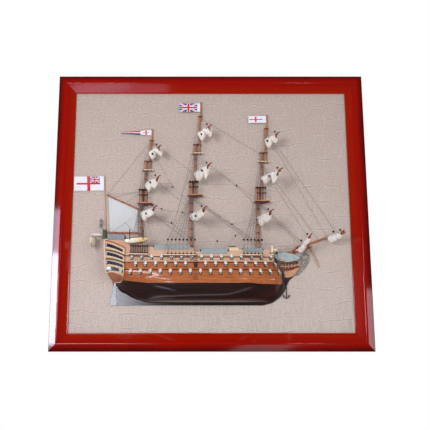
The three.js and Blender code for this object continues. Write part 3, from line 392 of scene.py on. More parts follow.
class Value:
    """A shader socket that takes part in sums: each operation adds its Math node."""

    def __init__(self, shading, socket):
        self.shading = shading
        self.socket = socket

    def maths(self, operation, *values):
        return self.shading.node("ShaderNodeMath", {"operation": operation}, values)

    __add__ = __radd__ = operator("ADD")
    __mul__ = __rmul__ = operator("MULTIPLY")
    __sub__ = operator("SUBTRACT")
    __rsub__ = operator("SUBTRACT", swapped=True)
    __truediv__ = operator("DIVIDE")
    __pow__ = operator("POWER")
    __abs__ = operator("ABSOLUTE")
    fraction = operator("FRACT")
    sine = operator("SINE")
    least = operator("MINIMUM")
    most = operator("MAXIMUM")

    def above(self, low, high=None):
        """0 below low, rising to 1 at high."""
        inputs = {"Value": self, "From Min": low, "From Max": low + 1e-3 if high is None else high}
        return self.shading.node("ShaderNodeMapRange", {"interpolation_type": "SMOOTHSTEP"}, inputs)

    def within(self, low, high, soft=0.2):
        """1 between low and high, 0 outside."""
        return self.above(low - soft, low + soft) * (1 - self.above(high - soft, high + soft))


class Shading:
    """Adds nodes to a material's or a world's tree."""

    def __init__(self, tree):
        self.tree = tree

    def node(self, kind, settings=None, inputs=(), output=0):
        """Adds a node, fills its inputs by name or in order, and returns one of its outputs."""
        made = self.tree.nodes.new(kind)
        for key, value in (settings or {}).items():
            setattr(made, key, value)
        pairs = inputs.items() if isinstance(inputs, dict) else enumerate(inputs)
        for key, value in pairs:
            self.fill(made.inputs[key], value)
        return Value(self, made.outputs[output])

    def fill(self, socket, value):
        if isinstance(value, Value):
            self.tree.links.new(value.socket, socket)
        else:
            socket.default_value = value


def srgb(red, green, blue):
    """A colour given as screen values from 0 to 255."""
    def linear(value):
        share = value / 255
        return share / 12.92 if share <= 0.04045 else ((share + 0.055) / 1.055) ** 2.4
    return (linear(red), linear(green), linear(blue), 1.0)


# Cotton's waves in radians per millimetre, its cloths across the driver, and the pitch of the
# linen's threads and creases in millimetres
COTTON_WAVES = 9
DRIVER_CLOTHS = 9
LINEN_PITCH = 0.9
CREASE_PITCH = 41


class Finish(Shading):
    """A material around one Principled shader. Its coordinates are millimetres."""

    def __init__(self, name, **plain):
        self.material = bpy.data.materials.new(name)
        self.material.use_nodes = True
        super().__init__(self.material.node_tree)
        self.shader = self.tree.nodes["Principled BSDF"]
        for key, value in plain.items():
            self.shader.inputs[key.replace("_", " ")].default_value = value
        place = self.node("ShaderNodeTexCoord", output="Object")
        self.spot = self.scaled(place, (1 / MM,) * 3)
        self.x, self.y, self.z = self.split(self.spot)

    def split(self, vector):
        made = self.tree.nodes.new("ShaderNodeSeparateXYZ")
        self.fill(made.inputs[0], vector)
        return [Value(self, output) for output in made.outputs]

    def scaled(self, vector, factors):
        return self.node("ShaderNodeVectorMath", {"operation": "MULTIPLY"}, [vector, factors])

    def join(self, x, y, z=0.0):
        return self.node("ShaderNodeCombineXYZ", None, [x, y, z])

    def noise(self, vector, scale=1.0, detail=2.0, roughness=0.5):
        inputs = {"Vector": vector, "Scale": scale, "Detail": detail, "Roughness": roughness}
        return self.node("ShaderNodeTexNoise", None, inputs)

    def mix(self, share, a, b):
        """The colour a where share is 0 and b where it is 1."""
        made = self.tree.nodes.new("ShaderNodeMix")
        made.data_type = "RGBA"
        for index, value in ((0, share), (6, a), (7, b)):
            self.fill(made.inputs[index], value)
        return Value(self, made.outputs[2])

    def set(self, **sockets):
        for key, value in sockets.items():
            self.fill(self.shader.inputs[key.replace("_", " ")], value)
        return self

    def layers(self, base, *layers):
        """Colours laid over a base one after another, each as its share and its (r, g, b)."""
        for share, colour in layers:
            base = self.mix(share, base, srgb(*colour))
        return base

    def uv(self):
        """The way along and the way up a sheet, both from 0 to 1."""
        return self.split(self.node("ShaderNodeTexCoord", output="UV"))[:2]

    def waves(self):
        """Fine waves along each axis, for the threads of cotton."""
        return [(axis * COTTON_WAVES).sine() for axis in (self.x, self.y, self.z)]

    def bump(self, height, distance):
        """Height is in millimetres times distance."""
        inputs = {"Strength": 1.0, "Distance": distance * MM, "Height": height}
        return self.set(Normal=self.node("ShaderNodeBump", None, inputs))


def make_lacquer():
    """Cherry lacquer over wood, with painted shade darkening it towards the outer edges and the inner
    facet painted brighter as painted light.
    """
    f = Finish(
        "cherry_lacquer", Coat_Weight=1.0, Coat_Roughness=0.09, Coat_IOR=1.45, Specular_IOR_Level=0.0)
    from_side = FRAME_WIDTH / 2 - abs(f.x)
    from_end = FRAME_HEIGHT / 2 - abs(f.z)
    inward = from_side.least(from_end)
    upright = (from_end - from_side).above(-0.5, 0.5)
    rail_grain = f.noise(f.join(f.x * 0.008, f.y * 0.25, f.z * 0.25), 1.0, 5.0, 0.6)
    stile_grain = f.noise(f.join(f.x * 0.25, f.y * 0.25, f.z * 0.008), 1.0, 5.0, 0.6)
    grain = rail_grain * (1 - upright) + stile_grain * upright
    cloud = f.noise(f.spot, 0.006, 2.0)
    # Painted shade: the colour darkens towards the outer edges, and the inner facet is painted brighter
    # as painted light.
    clear_of_edge_shade = (inward + (cloud - 0.5) * 16).above(-6, 24)
    f.set(Base_Color=f.layers(
        srgb(58, 2, 2), (clear_of_edge_shade, (158, 13, 3)), (inward.above(23, 42), (166, 26, 2)),
        ((grain - 0.35).above(0, 0.5) * 0.4, (112, 6, 2))))
    f.bump(f.noise(f.spot, 0.03, 2.0), 0.06)
    return f.material


def make_linen():
    """Natural linen, slubbed and creased across in thin wavy lines, with painted shade in each crease
    and a painted highlight beside it, painted shade growing towards the top, and looser threads low
    down.
    """
    f = Finish("natural_linen", Roughness=0.95, Specular_IOR_Level=0.15, Sheen_Weight=0.1)
    warp, weft = [(axis * (2 * math.pi / LINEN_PITCH)).sine() for axis in (f.x, f.z)]
    fibre = f.noise(f.join(f.x * 0.16, 1.0, f.z * 0.42), 1.0, 4.0, 0.75)
    slub_across = f.noise(f.join(f.x * 0.03, 0.0, f.z * 0.7), 1.0, 3.0, 0.65)
    slub_down = f.noise(f.join(f.x * 0.5, 5.0, f.z * 0.02), 1.0, 3.0, 0.65)
    wander = f.noise(f.join(f.x * 0.009, 9.0, f.z * 0.005), 1.0, 3.0, 0.6)
    lines = f.z / CREASE_PITCH + wander * 1.5 + f.x * 0.0006
    across = abs(lines.fraction() - 0.5) * CREASE_PITCH
    broken = f.noise(f.join(f.x * 0.02, 2.0, f.z * 0.04), 1.0, 3.0).above(0.36, 0.62)
    # Painted shade along each crease and a painted highlight beside it; both also shape the bump of the
    # crease.
    crease_and_shade = (1 - across.above(0.2, 1.5)) * broken
    crease_ridge_and_highlight = (1 - abs(across - 3.0).above(0.4, 3.0)) * broken
    low = 1 - f.z.above(-340, -210)
    hatch = f.noise(f.join(f.x * 0.3, 3.0, f.z * 0.02), 1.0, 4.0, 0.7)
    loose = hatch.above(0.48, 0.68) * (0.3 + 0.7 * low)
    speck = f.noise(f.spot, 0.12, 1.0).above(0.8, 0.84)
    cloud = f.noise(f.spot, 0.008, 3.0)
    # Painted shade: the linen darkens towards the top, as light falls brighter low down.
    shade_towards_top = (f.z + 350) / 700
    f.set(Base_Color=f.layers(
        srgb(214, 199, 195),
        (shade_towards_top, (188, 172, 165)),
        (cloud.above(0.3, 0.7) * 0.25, (194, 177, 167)),
        ((1 - fibre.above(0.3, 0.52)) * 0.6, (160, 144, 132)),
        (fibre.above(0.5, 0.7) * 0.55, (238, 228, 222)),
        (slub_across.above(0.52, 0.72) * 0.34, (162, 144, 130)),
        (slub_down.above(0.52, 0.72) * 0.34, (226, 214, 207)),
        (loose * 0.3, (142, 126, 115)),
        (crease_and_shade * 0.42, (124, 106, 95)),
        (crease_ridge_and_highlight * 0.14, (244, 236, 230)),
        (speck * 0.7, (70, 60, 56))))
    f.bump(
        0.12 * (warp + weft) + 0.9 * fibre + 0.6 * slub_across + 0.6 * slub_down - 0.7 * crease_and_shade
        + 0.4 * crease_ridge_and_highlight + 0.8 * loose, 0.35)
    return f.material


def grained(name, pale, dark, grain=(0.35, 0.35, 0.02), gloss=0.35, coat=0.4, share=0.6):
    """Varnished wood. Grain is how quickly the figure changes along each axis."""
    pale, dark = srgb(*pale), srgb(*dark)
    f = Finish(name, Coat_Weight=coat, Coat_Roughness=0.15)
    figure = f.noise(f.scaled(f.spot, grain), 1.0, 4.0, 0.65)
    blotch = f.noise(f.spot, 0.02, 2.0)
    colour = f.mix(figure.above(0.35, 0.72) * share, pale, dark)
    colour = f.mix(blotch.above(0.45, 0.7) * 0.25, colour, dark)
    f.set(Base_Color=colour, Roughness=gloss + 0.15 * figure)
    f.bump(figure, 0.12)
    return f.material


def painted(name, colour, roughness=0.45, metallic=0.0, wear=0.15, worn=None, grain=0.3, coat=0.0):
    """Paint, stain or cast metal with mottling and a little wear."""
    ground = srgb(*colour)
    second = srgb(*worn) if worn else (*[0.55 * part for part in ground[:3]], 1.0)
    f = Finish(name, Metallic=metallic, Coat_Weight=coat)
    mottle = f.noise(f.spot, grain, 3.0, 0.6)
    f.set(Base_Color=f.mix(mottle.above(0.4, 0.7) * wear, ground, second))
    f.set(Roughness=roughness + 0.2 * (mottle - 0.5))
    f.bump(mottle, 0.1)
    return f.material


def make_hull_wood():
    """Strip-planked hull: dark below the water, orange wood in bands above it, pale at the rail."""
    f = Finish(
        "hull_planking", Coat_Weight=1.0, Coat_Roughness=0.15, Coat_IOR=1.5, Specular_IOR_Level=0.1)
    level = f.z - KEEL_Z
    station = f.x - SHIP_X
    aft = (SHEER_START - station) / (SHEER_START - TAFFRAIL_X)
    sheer = RAIL_SHEER * (aft.most(0.0).least(1.0) ** 2.0)
    water = 60.5 + 8 * (1 - station.above(20, 125)) - 3 * station.above(385, 425)
    figure = f.noise(f.join(f.x * 0.03, f.y * 0.25, f.z * 0.45), 1.0, 5.0, 0.65)
    plank = level / STRAKE
    strake = f.noise(f.join(f.x * 0.004, 0.0, plank - plank.fraction()), 1.0, 1.0)
    seam = 1 - abs(plank.fraction() - 0.5).above(0.47, 0.5)
    orange = f.layers(srgb(202, 122, 74), (figure.above(0.3, 0.75), (146, 76, 40)),
                      (strake.above(0.35, 0.65) * 0.4, (170, 86, 42)))
    tan = f.layers(srgb(222, 184, 158), (figure.above(0.3, 0.75), (196, 150, 124)))
    dark = f.layers(srgb(44, 25, 22), (figure.above(0.3, 0.8), (27, 15, 13)),
                    (strake.above(0.4, 0.6) * 0.5, (54, 30, 26)))
    umber = srgb(96, 36, 24)
    stripe = level.within(LOWER_STRIPE - 1.8, LOWER_STRIPE + 1.8).most(
        level.within(UPPER_STRIPE - 1.8, UPPER_STRIPE + 1.8))
    over = (level - sheer).above(RAIL_LEVEL + 1.4, RAIL_LEVEL + 1.8)
    below_rail = (level - sheer).within(RAIL_LEVEL - 5.0, RAIL_LEVEL - 1.5)
    colour = f.mix((level - water).above(-0.5, 0.5), dark, orange)
    colour = f.mix(level.above(UPPER_STRIPE + 1.3, UPPER_STRIPE + 1.7), colour, tan)
    colour = f.mix(stripe * 0.85, colour, umber)
    colour = f.mix(below_rail * 0.8, colour, umber)
    colour = f.mix(over * 0.5, colour, srgb(224, 182, 156))
    f.set(Base_Color=colour, Roughness=0.36 + 0.12 * figure)
    f.bump(figure * 0.6 + seam * 0.5, 0.05)
    return f.material


def make_sail_cloth():
    """Off-white cotton with a fine weave and soft crumples, greyed where it crumples as painted shade.
    """
    f = Finish("sail_cotton", Roughness=0.9, Specular_IOR_Level=0.25, Sheen_Weight=0.1)
    across, out, up = f.waves()
    weave = across * up + out * up
    crumple_and_shade = f.noise(f.spot, 0.16, 3.0, 0.6)
    stain = f.noise(f.spot, 0.03, 2.0)
    along, down = f.uv()
    hem = (1 - abs(down).above(0.03, 0.1)).most(along.above(0.93, 0.98))
    # The crumple mask also greys the cloth as painted shade in the crumples.
    f.set(Base_Color=f.layers(
        srgb(243, 241, 240), (stain.above(0.4, 0.7) * 0.5, (232, 224, 212)),
        (crumple_and_shade.above(0.55, 0.8) * 0.25, (206, 206, 214)), (hem * 0.55, (226, 196, 172))))
    f.bump(0.06 * weave + crumple_and_shade + 0.4 * hem, 0.5)
    return f.material


def make_driver_cloth():
    """The driver's sail: the same cotton with sewn seams running down it."""
    f = Finish("driver_cotton", Roughness=0.9, Specular_IOR_Level=0.25)
    u, v = f.uv()
    seam = abs((u * DRIVER_CLOTHS).fraction() - 0.5).above(0.44, 0.48)
    across, _, up = f.waves()
    stain = f.noise(f.spot, 0.03, 3.0)
    edge = 1 - u.within(0.02, 0.98, 0.01) * v.within(0.015, 0.985, 0.01)
    f.set(Base_Color=f.layers(
        srgb(214, 216, 220), (stain.above(0.35, 0.7) * 0.5, (206, 206, 208)),
        (seam * 0.4, (176, 178, 184)), (edge * 0.3, (186, 186, 190))))
    f.bump(0.05 * (across + up) + 0.8 * seam + 0.6 * edge + 0.4 * stain, 0.3)
    return f.material


def make_boat_paint():
    """Varnished cream paint, almost white aft and yellower towards the quarter boat's stem."""
    f = Finish("boat_cream", Roughness=0.4, Coat_Weight=0.5, Coat_Roughness=0.15)
    mottle = f.noise(f.spot, 0.08, 3.0, 0.6)
    f.set(Base_Color=f.layers(
        srgb(244, 236, 216), ((f.x - SHIP_X).above(66, 100), (238, 210, 140)),
        (mottle.above(0.4, 0.7) * 0.25, (214, 190, 150))))
    f.bump(mottle, 0.1)
    return f.material


WHITE_CLOTH = srgb(236, 236, 250)
RED_CLOTH = srgb(214, 44, 50)
BLUE_CLOTH = srgb(44, 48, 122)


def union_pattern(f, x, y, ground):
    """The union of crosses on a field whose x and y run from -1 to 1; ground is the cloth around."""
    inside = x.within(-1, 1, 0.01) * y.within(-1, 1, 0.01)
    slant = abs(abs(x) - abs(y))
    colour = f.mix(1 - slant.above(0.2, 0.24), BLUE_CLOTH, WHITE_CLOTH)
    colour = f.mix((1 - slant.above(0.05, 0.08)) * 0.7, colour, RED_CLOTH)
    for half_x, half_y, cloth in ((0.2, 0.3, WHITE_CLOTH), (0.12, 0.18, RED_CLOTH)):
        cross = abs(x).within(-1, half_x, 0.02).most(abs(y).within(-1, half_y, 0.02))
        colour = f.mix(cross, colour, cloth)
    return f.mix(inside, ground, colour)


def make_flag(name, pattern):
    """Printed cotton. Pattern gives the colour from the way along from the hoist and the way up."""
    f = Finish(name, Roughness=0.85, Specular_IOR_Level=0.25)
    across, _, up = f.waves()
    shade = f.noise(f.spot, 0.05, 2.0)
    printed = pattern(f, *f.uv())
    f.set(Base_Color=f.layers(printed, (shade.above(0.5, 0.8) * 0.12, (150, 150, 170))))
    f.bump(0.05 * (across + up) + 0.3 * shade, 0.3)
    return f.material


def ensign_pattern(f, u, v):
    upright = u.within(0.458, 0.562, 0.004)
    level = v.within(0.43, 0.555, 0.006) * u.within(0.13, 0.91, 0.004)
    colour = f.mix(upright.most(level), WHITE_CLOTH, RED_CLOTH)
    return union_pattern(f, (u - 0.307) / 0.167, (v - 0.77) / 0.21, colour)


def union_flag_pattern(f, u, v):
    return union_pattern(f, (u - 0.57) / 0.425, (v - 0.5) / 0.485, WHITE_CLOTH)


def cross_pattern(f, u, v):
    upright = u.within(0.54, 0.63, 0.006) * v.within(0.12, 0.9, 0.01)
    level = v.within(0.44, 0.57, 0.01) * u.within(0.2, 0.95, 0.006)
    return f.mix(upright.most(level), WHITE_CLOTH, RED_CLOTH)


def pennant_pattern(f, u, v):
    tail = u.above(0.36, 0.37)
    cross = u.within(0.16, 0.2, 0.006).most(v.within(0.43, 0.57, 0.02) * u.within(0.08, 0.3, 0.006))
    head = f.mix(cross, WHITE_CLOTH, RED_CLOTH)
    stripes = f.mix(v.above(0.36, 0.38), BLUE_CLOTH, f.mix(v.above(0.62, 0.64), WHITE_CLOTH, RED_CLOTH))
    return f.mix(tail, head, stripes)


LACQUER = make_lacquer()
LINEN = make_linen()
BOARD = grained("panel_board", (190, 158, 116), (160, 128, 90), (0.02, 0.3, 0.2), 0.7, 0.0)
HULL_WOOD = make_hull_wood()
DECK = grained("deck_planks", (214, 182, 140), (176, 138, 98), (0.02, 0.5, 0.5), 0.5, 0.1)
KEEL_WOOD = painted("keel_stain", (50, 30, 28), 0.3, 0.0, 0.4, (34, 20, 18), 0.05, coat=1.0)
CHEEK_WOOD = grained("cheek_timber", (222, 160, 124), (190, 122, 88), (0.05, 0.3, 0.3))
PALE_WOOD = grained("pale_timber", (222, 184, 154), (190, 144, 114), (0.05, 0.4, 0.3))
CREAM_TRIM = grained("cream_moulding", (240, 216, 184), (216, 182, 146), (0.04, 0.4, 0.4), share=0.4)
GREEN_TRIM = painted("dark_green_moulding", (74, 84, 56), 0.4, wear=0.4)
DARK_WOOD = grained("red_brown_timber", (134, 62, 44), (84, 32, 24), (0.06, 0.4, 0.3))
GALLERY_FOOT_WOOD = grained("gallery_foot_timber", (184, 112, 76), (132, 70, 44), (0.05, 0.3, 0.4))
SPAR_WOOD = grained("spar_timber", (166, 74, 48), (100, 34, 24), (0.06, 0.3, 0.3))
BOOM_WOOD = grained("boom_timber", (196, 112, 70), (140, 62, 38), (0.06, 0.3, 0.3))
MAST_WOOD = grained("mast_timber", (188, 132, 104), (126, 80, 60), (0.5, 0.5, 0.02))
POLE_WOOD = grained("pole_timber", (206, 128, 76), (150, 78, 42), (0.5, 0.5, 0.02))
CAP_WOOD = grained("cap_timber", (124, 60, 40), (78, 34, 24), (0.1, 0.3, 0.3))
TOP_WOOD = grained("platform_timber", (220, 150, 110), (158, 96, 66), (0.08, 0.3, 0.4))
STAFF_WOOD = grained("staff_timber", (206, 172, 132), (168, 130, 92), (0.5, 0.5, 0.02))
SAIL_CLOTH = make_sail_cloth()
DRIVER_CLOTH = make_driver_cloth()
BOAT_PAINT = make_boat_paint()
SILVER = painted("aged_silver", (178, 180, 172), 0.4, 0.3, 0.9, (70, 74, 66), 0.5)
LANTERN_METAL = painted("lantern_metal", (120, 124, 112), 0.4, 0.3, 0.7, (52, 56, 50), 0.5)
LID_METAL = painted("lid_pewter", (254, 253, 250), 0.4, 0.0, 0.15, (200, 198, 190), 0.4, coat=0.4)
LID_FACE = painted("lid_face", (254, 252, 248), 0.4, 0.0, 0.2, (214, 210, 200), 0.6, coat=0.4)
GUN_METAL = painted("gun_metal", (196, 190, 184), 0.35, 0.2, 0.5, (96, 92, 90), 0.5)
IRON = painted("black_iron", (34, 34, 36), 0.45, 0.5, 0.4)
BLACK_WOOD = painted("black_blocks", (22, 21, 22), 0.4, 0.0, 0.4, (52, 50, 48), 0.6)
THREAD = painted("rigging_thread", (116, 110, 108), 0.8, 0.0, 0.5, (84, 80, 78), 0.6)
ROPE_BAND = painted("rope_bands", (92, 66, 56), 0.6, wear=0.5)
GLASS = painted("dark_panes", (30, 30, 54), 0.3, 0.0, 0.5, (64, 68, 104), 0.12, coat=0.2)
BLACK_GLASS = painted("black_panes", (18, 18, 18), 0.2, 0.0, 0.3, (38, 44, 40), 0.12, coat=0.6)
PILASTER_WOOD = grained("pilaster_timber", (240, 200, 176), (212, 160, 134), (0.4, 0.4, 0.03))
PANE_BARS = painted("pane_bars", (96, 102, 140), 0.4, wear=0.5)
# Pale blue paint for the panes' painted glint, a reflection of light on the glass.
PANE_GLINT = painted("painted_pane_glint", (196, 212, 230), 0.3, wear=0.3, coat=0.5)
NETTING = painted("hammock_netting", (160, 170, 174), 0.7, 0.0, 0.7, (126, 134, 138), 0.3)
POOP_NETTING = painted("poop_netting", (150, 154, 160), 0.7, 0.0, 0.8, (104, 106, 112), 0.4)
HEAD_NET = painted("head_net", (176, 186, 188), 0.7, 0.0, 0.6, (140, 158, 158), 0.08)
BEAM_PAINT = painted("white_beam", (236, 232, 228), 0.4, wear=0.2)


# Camera and studio. The frame's edges in the photo give the camera's place, tilt and lens
CAMERA_PLACE = (-45.7, -1507.2, -256.4)
CAMERA_TILT = 9.104
SENSOR_WIDTH = 36
LENS = 44.44
SHIFT_X = 0.0465
ROOM_GLOW = 0.5
ROOM_IN_GLOSS = 0.06


def make_camera():
    data = bpy.data.cameras.new("front_camera")
    data.sensor_width = SENSOR_WIDTH
    data.lens = LENS
    data.shift_x = SHIFT_X
    camera = bpy.data.objects.new("front_camera", data)
    camera.location = Vector(CAMERA_PLACE) * MM
    camera.rotation_euler = (math.radians(90 + CAMERA_TILT), 0, 0)
    scene.collection.objects.link(camera)
    scene.camera = camera


def make_world():
    """White behind the object, a soft even light on it, and a dim room in its reflections."""
    world = bpy.data.worlds.new("studio")
    scene.world = world
    world.use_nodes = True
    s = Shading(world.node_tree)
    output = s.tree.nodes["World Output"]
    rays = s.tree.nodes.new("ShaderNodeLightPath").outputs
    seen = Value(s, rays["Is Camera Ray"])
    glossy = Value(s, rays["Is Glossy Ray"])
    tone = ROOM_GLOW * (1 - glossy) + ROOM_IN_GLOSS * glossy
    tone = tone * (1 - seen) + seen
    back = s.tree.nodes["Background"]
    back.inputs["Color"].default_value = (1, 1, 1, 1)
    s.fill(back.inputs["Strength"], tone)
    s.tree.links.new(back.outputs[0], output.inputs[0])
    scene.view_settings.view_transform = "Standard"


def panel_light(name, centre, target, size, power, colour=(1, 1, 1), lit=True, shown=True):
    """A rectangular light: lit for what it lights, shown for whether gloss reflects it."""
    data = bpy.data.lights.new(name, "AREA")
    data.shape = "RECTANGLE"
    data.size, data.size_y = size
    data.energy = power
    data.color = colour
    light = bpy.data.objects.new(name, data)
    light.location = centre
    light.rotation_euler = (Vector(target) - Vector(centre)).to_track_quat("-Z", "Y").to_euler()
    light.visible_camera = False
    light.visible_diffuse = lit
    light.visible_glossy = shown
    scene.collection.objects.link(light)


def make_lights():
    """A key from the upper left, a wide fill, and panels that only show in the gloss.

    Places and sizes are metres and powers are watts.
    """
    pale = (0.94, 0.92, 1.0)
    window = (0.84, 0.88, 1.0)
    lavender = (0.84, 0.78, 1.0)
    pink = (1.0, 0.72, 0.8)
    panel_light("key", (-0.8, -1.7, 0.2), (0, 0, 0), (0.6, 0.5), 14, shown=False)
    panel_light("fill", (1.2, -2.2, 0.4), (0, 0, 0), (1.6, 1.6), 11, shown=False)
    panels = [
        ("front_window", (-0.77, -1.8, -0.27), (0, 0, -0.2), (0.62, 0.36), 8.2, window),
        ("front_window_side", (-0.44, -1.8, -0.27), (0, 0, -0.2), (0.1, 0.36), 0.65, window),
        ("front_window_end", (-0.35, -1.8, -0.27), (0, 0, -0.2), (0.1, 0.36), 0.3, window),
        ("right_window", (0.62, -1.8, 0.02), (0.1, 0, -0.1), (0.2, 0.2), 1.2, pale),
        ("floor_patch", (-0.585, -0.81, -0.9), (-0.3, 0, 0.37), (0.33, 0.12), 0.4, lavender),
        ("floor_patch_end", (-0.31, -0.81, -0.9), (-0.2, 0, 0.37), (0.22, 0.12), 0.12, lavender),
        ("left_patch", (-1.25, -0.475, -0.25), (-0.44, 0, -0.25), (0.4, 0.4), 17.0, lavender),
        ("left_patch_high", (-1.25, -0.475, 0.05), (-0.44, 0, 0.05), (0.34, 0.2), 2.0, lavender),
        ("right_patch", (1.3, -0.45, -0.36), (0.44, 0, -0.3), (0.25, 0.3), 1.2, pink),
        ("low_band", (-0.1, -0.22, -0.88), (0.0, -0.06, -0.2), (1.6, 0.1), 0.7, pale),
    ]
    for name, centre, target, size, power, colour in panels:
        panel_light(name, centre, target, size, power, colour, lit=False)


def make_floor():
    """A pale floor below the object, unseen in its gloss. Sizes are metres."""
    bm = start_mesh()
    bmesh.ops.create_grid(bm, x_segments=1, y_segments=1, size=2.6)
    bmesh.ops.translate(bm, vec=(0, -1.4, -0.92), verts=bm.verts)
    mesh = bpy.data.meshes.new("floor")
    bm.to_mesh(mesh)
    bm.free()
    floor = bpy.data.objects.new("floor", mesh)
    scene.collection.objects.link(floor)
    mesh.materials.append(painted("studio_floor", (232, 230, 228), 0.8, wear=0.05, grain=0.01))
    floor.visible_glossy = False


# Frame and ground

def build_frame():
    """Four mitred members of one profile, turned a quarter about from one to the next."""
    members = [
        ("frame_rail_bottom", FRAME_WIDTH, FRAME_HEIGHT),
        ("frame_stile_left", FRAME_HEIGHT, FRAME_WIDTH),
        ("frame_rail_top", FRAME_WIDTH, FRAME_HEIGHT),
        ("frame_stile_right", FRAME_HEIGHT, FRAME_WIDTH),
    ]
    arris, ridge = (0, EDGE_DEPTH), (RIDGE_INSET, RIDGE_DEPTH)
    lip = (MEMBER_WIDTH - LIP_WIDTH, LIP_DEPTH)

    def toward(start, end, distance):
        return tuple(Vector(start) + (Vector(end) - Vector(start)).normalized() * distance)

    # The points set a little way in from each rounded edge keep the facets flat in the gloss
    profile = [
        (0, 0), toward(arris, (0, 0), 2), arris, toward(arris, ridge, 2), toward(ridge, arris, 5), ridge,
        toward(ridge, lip, 5), toward(lip, ridge, 1), lip, (MEMBER_WIDTH, LIP_DEPTH),
        (MEMBER_WIDTH, SEAT), (MEMBER_WIDTH - REBATE, SEAT), (MEMBER_WIDTH - REBATE, 0),
    ]
    rounding = {
        (0, 0): (0.8, 2), arris: (1.2, 4), ridge: (4.2, 8),
        (MEMBER_WIDTH, LIP_DEPTH): (0.9, 2),
    }
    for quarter, (node, length, across) in enumerate(members):
        bm = start_mesh()
        near = [bm.verts.new((0, -depth, inward)) for inward, depth in profile]
        made = bmesh.ops.extrude_face_region(bm, geom=[bm.faces.new(near)])
        far = [item for item in made["geom"] if isinstance(item, bmesh.types.BMVert)]
        bmesh.ops.translate(bm, vec=(length, 0, 0), verts=far)
        for vert in bm.verts:
            mitre = vert.co.z + GAP
            vert.co.x += mitre if vert.co.x < length / 2 else -mitre
        bmesh.ops.recalc_face_normals(bm, faces=bm.faces)
        for (inward, depth), (size, segments) in rounding.items():
            edges = [
                edge for edge in bm.edges
                if all(math.hypot(v.co.z - inward, v.co.y + depth) < 0.01 for v in edge.verts)]
            round_edges(bm, edges, size, segments)
        bmesh.ops.translate(bm, vec=(-length / 2, 0, -across / 2), verts=bm.verts)
        turn = Matrix.Rotation(quarter * math.pi / 2, 4, "Y")
        finish_piece(node + "_moulding", bm, LACQUER, [node], turn, 20)


def build_linen():
    """The linen over the panel, faintly wavy."""
    front = -LINEN_LOW.y

    def place(x, z):
        wave = noise.noise(Vector((x * 0.004, 3.0, z * 0.03)))
        wave += 0.5 * noise.noise(Vector((x, 0.0, z)) * 0.02)
        return at(x, front - 0.12 + 0.12 * clamp(wave, -1, 1), z)

    bm = start_mesh()
    xs = evenly(150, LINEN_LOW.x, LINEN_HIGH.x)
    zs = evenly(130, LINEN_LOW.z, LINEN_HIGH.z)
    lattice(bm, xs, zs, place)
    cloth = finish_piece("linen_cloth", bm, LINEN, ["linen_ground"], ROOM, 60, wall=0.9)


# Hull form, as half breadths from the flat back

STERN = [(0, STERNPOST_FOOT), (66, STERNPOST_HEAD), (93, -3), (109, -9), (176, TAFFRAIL_X)]
STEM = [(z, x) for x, z in from_stem([
    (-60, 0), (-43, 6), (-28, 12), (-16, 23), (-7, 34), (-1, 57), (0, 68), (-3, BEAKHEAD_LEVEL)])]
STEM.append((BEAKHEAD_LEVEL + 1.5, BEAKHEAD_X))


def stern_at(z):
    return profile_at(STERN, z)


def stem_at(z):
    return profile_at(STEM, z)


def mid_breadth(z):
    if z < BEAM_LEVEL:
        rise = clamp((z - KEEL_DEPTH) / (BEAM_LEVEL - KEEL_DEPTH))
        return max(KEEL_HALF, HALF_BREADTH * (1 - (1 - rise) ** 2.4) ** (1 / 2.4))
    fall = (z - BEAM_LEVEL) / (DECKS[0]["top"] - BEAM_LEVEL)
    return HALF_BREADTH * (1 - TUMBLEHOME * fall ** 1.6)


def breadth_at(x, z):
    middle = mid_breadth(z)
    high = smoothstep(z, KEEL_DEPTH + 4, BEAM_LEVEL + 7)
    to_bow = clamp((x - PARALLEL_FORE) / (stem_at(z) - PARALLEL_FORE))
    bow_end = 0.6 * middle if z > BEAKHEAD_LEVEL else KEEL_HALF
    fore = bow_end + (middle - bow_end) * (1 - to_bow ** lerp(1.7, 2.6, high)) ** lerp(1.1, 0.62, high)
    to_stern = clamp((PARALLEL_AFT - x) / (PARALLEL_AFT - stern_at(z)))
    stern_end = lerp(KEEL_HALF, 0.7 * middle, smoothstep(z, WATERLINE - 5, WATERLINE + 29))
    aft = stern_end + (middle - stern_end) * (1 - to_stern ** lerp(1.4, 2.2, high)) ** lerp(1.6, 1, high)
    return max(KEEL_HALF, fore * aft / middle)


# The edge where the round hull meets the flat deadwood under the stern, as (x, z)
TUCK = spline([
    (STERNPOST_HEAD - 6, 62), (18, 50.5), (30, 39.5), (44, 31), (58, 23), (72, 17.5), (91, 12), (114, 8),
    (155, 6.8), (STEM_X, 6.6)], 5)


def tuck_at(x):
    return profile_at(TUCK, x)


def sheer_at(x):
    return RAIL_SHEER * clamp((SHEER_START - x) / (SHEER_START - TAFFRAIL_X)) ** 2


def deck_at(x):
    return next((deck for deck in DECKS if x < deck["end"]), DECKS[-1])


def top_at(x):
    poop_end = DECKS[0]["end"]
    return deck_at(x)["top"] + (sheer_at(x) - sheer_at(poop_end) if x < poop_end else 0)


def rail_at(x):
    return RAIL_LEVEL + sheer_at(x)


def on_side(x, z, sink=0.0):
    """The place of a small piece made at the origin, facing -y, on the side of the hull."""
    slope = (breadth_at(x + 1, z) - breadth_at(x - 1, z)) / 2
    turn = Matrix.Rotation(math.atan2(-slope, 1), 4, "Z")
    return Matrix.Translation((x, sink - breadth_at(x, z), z)) @ turn


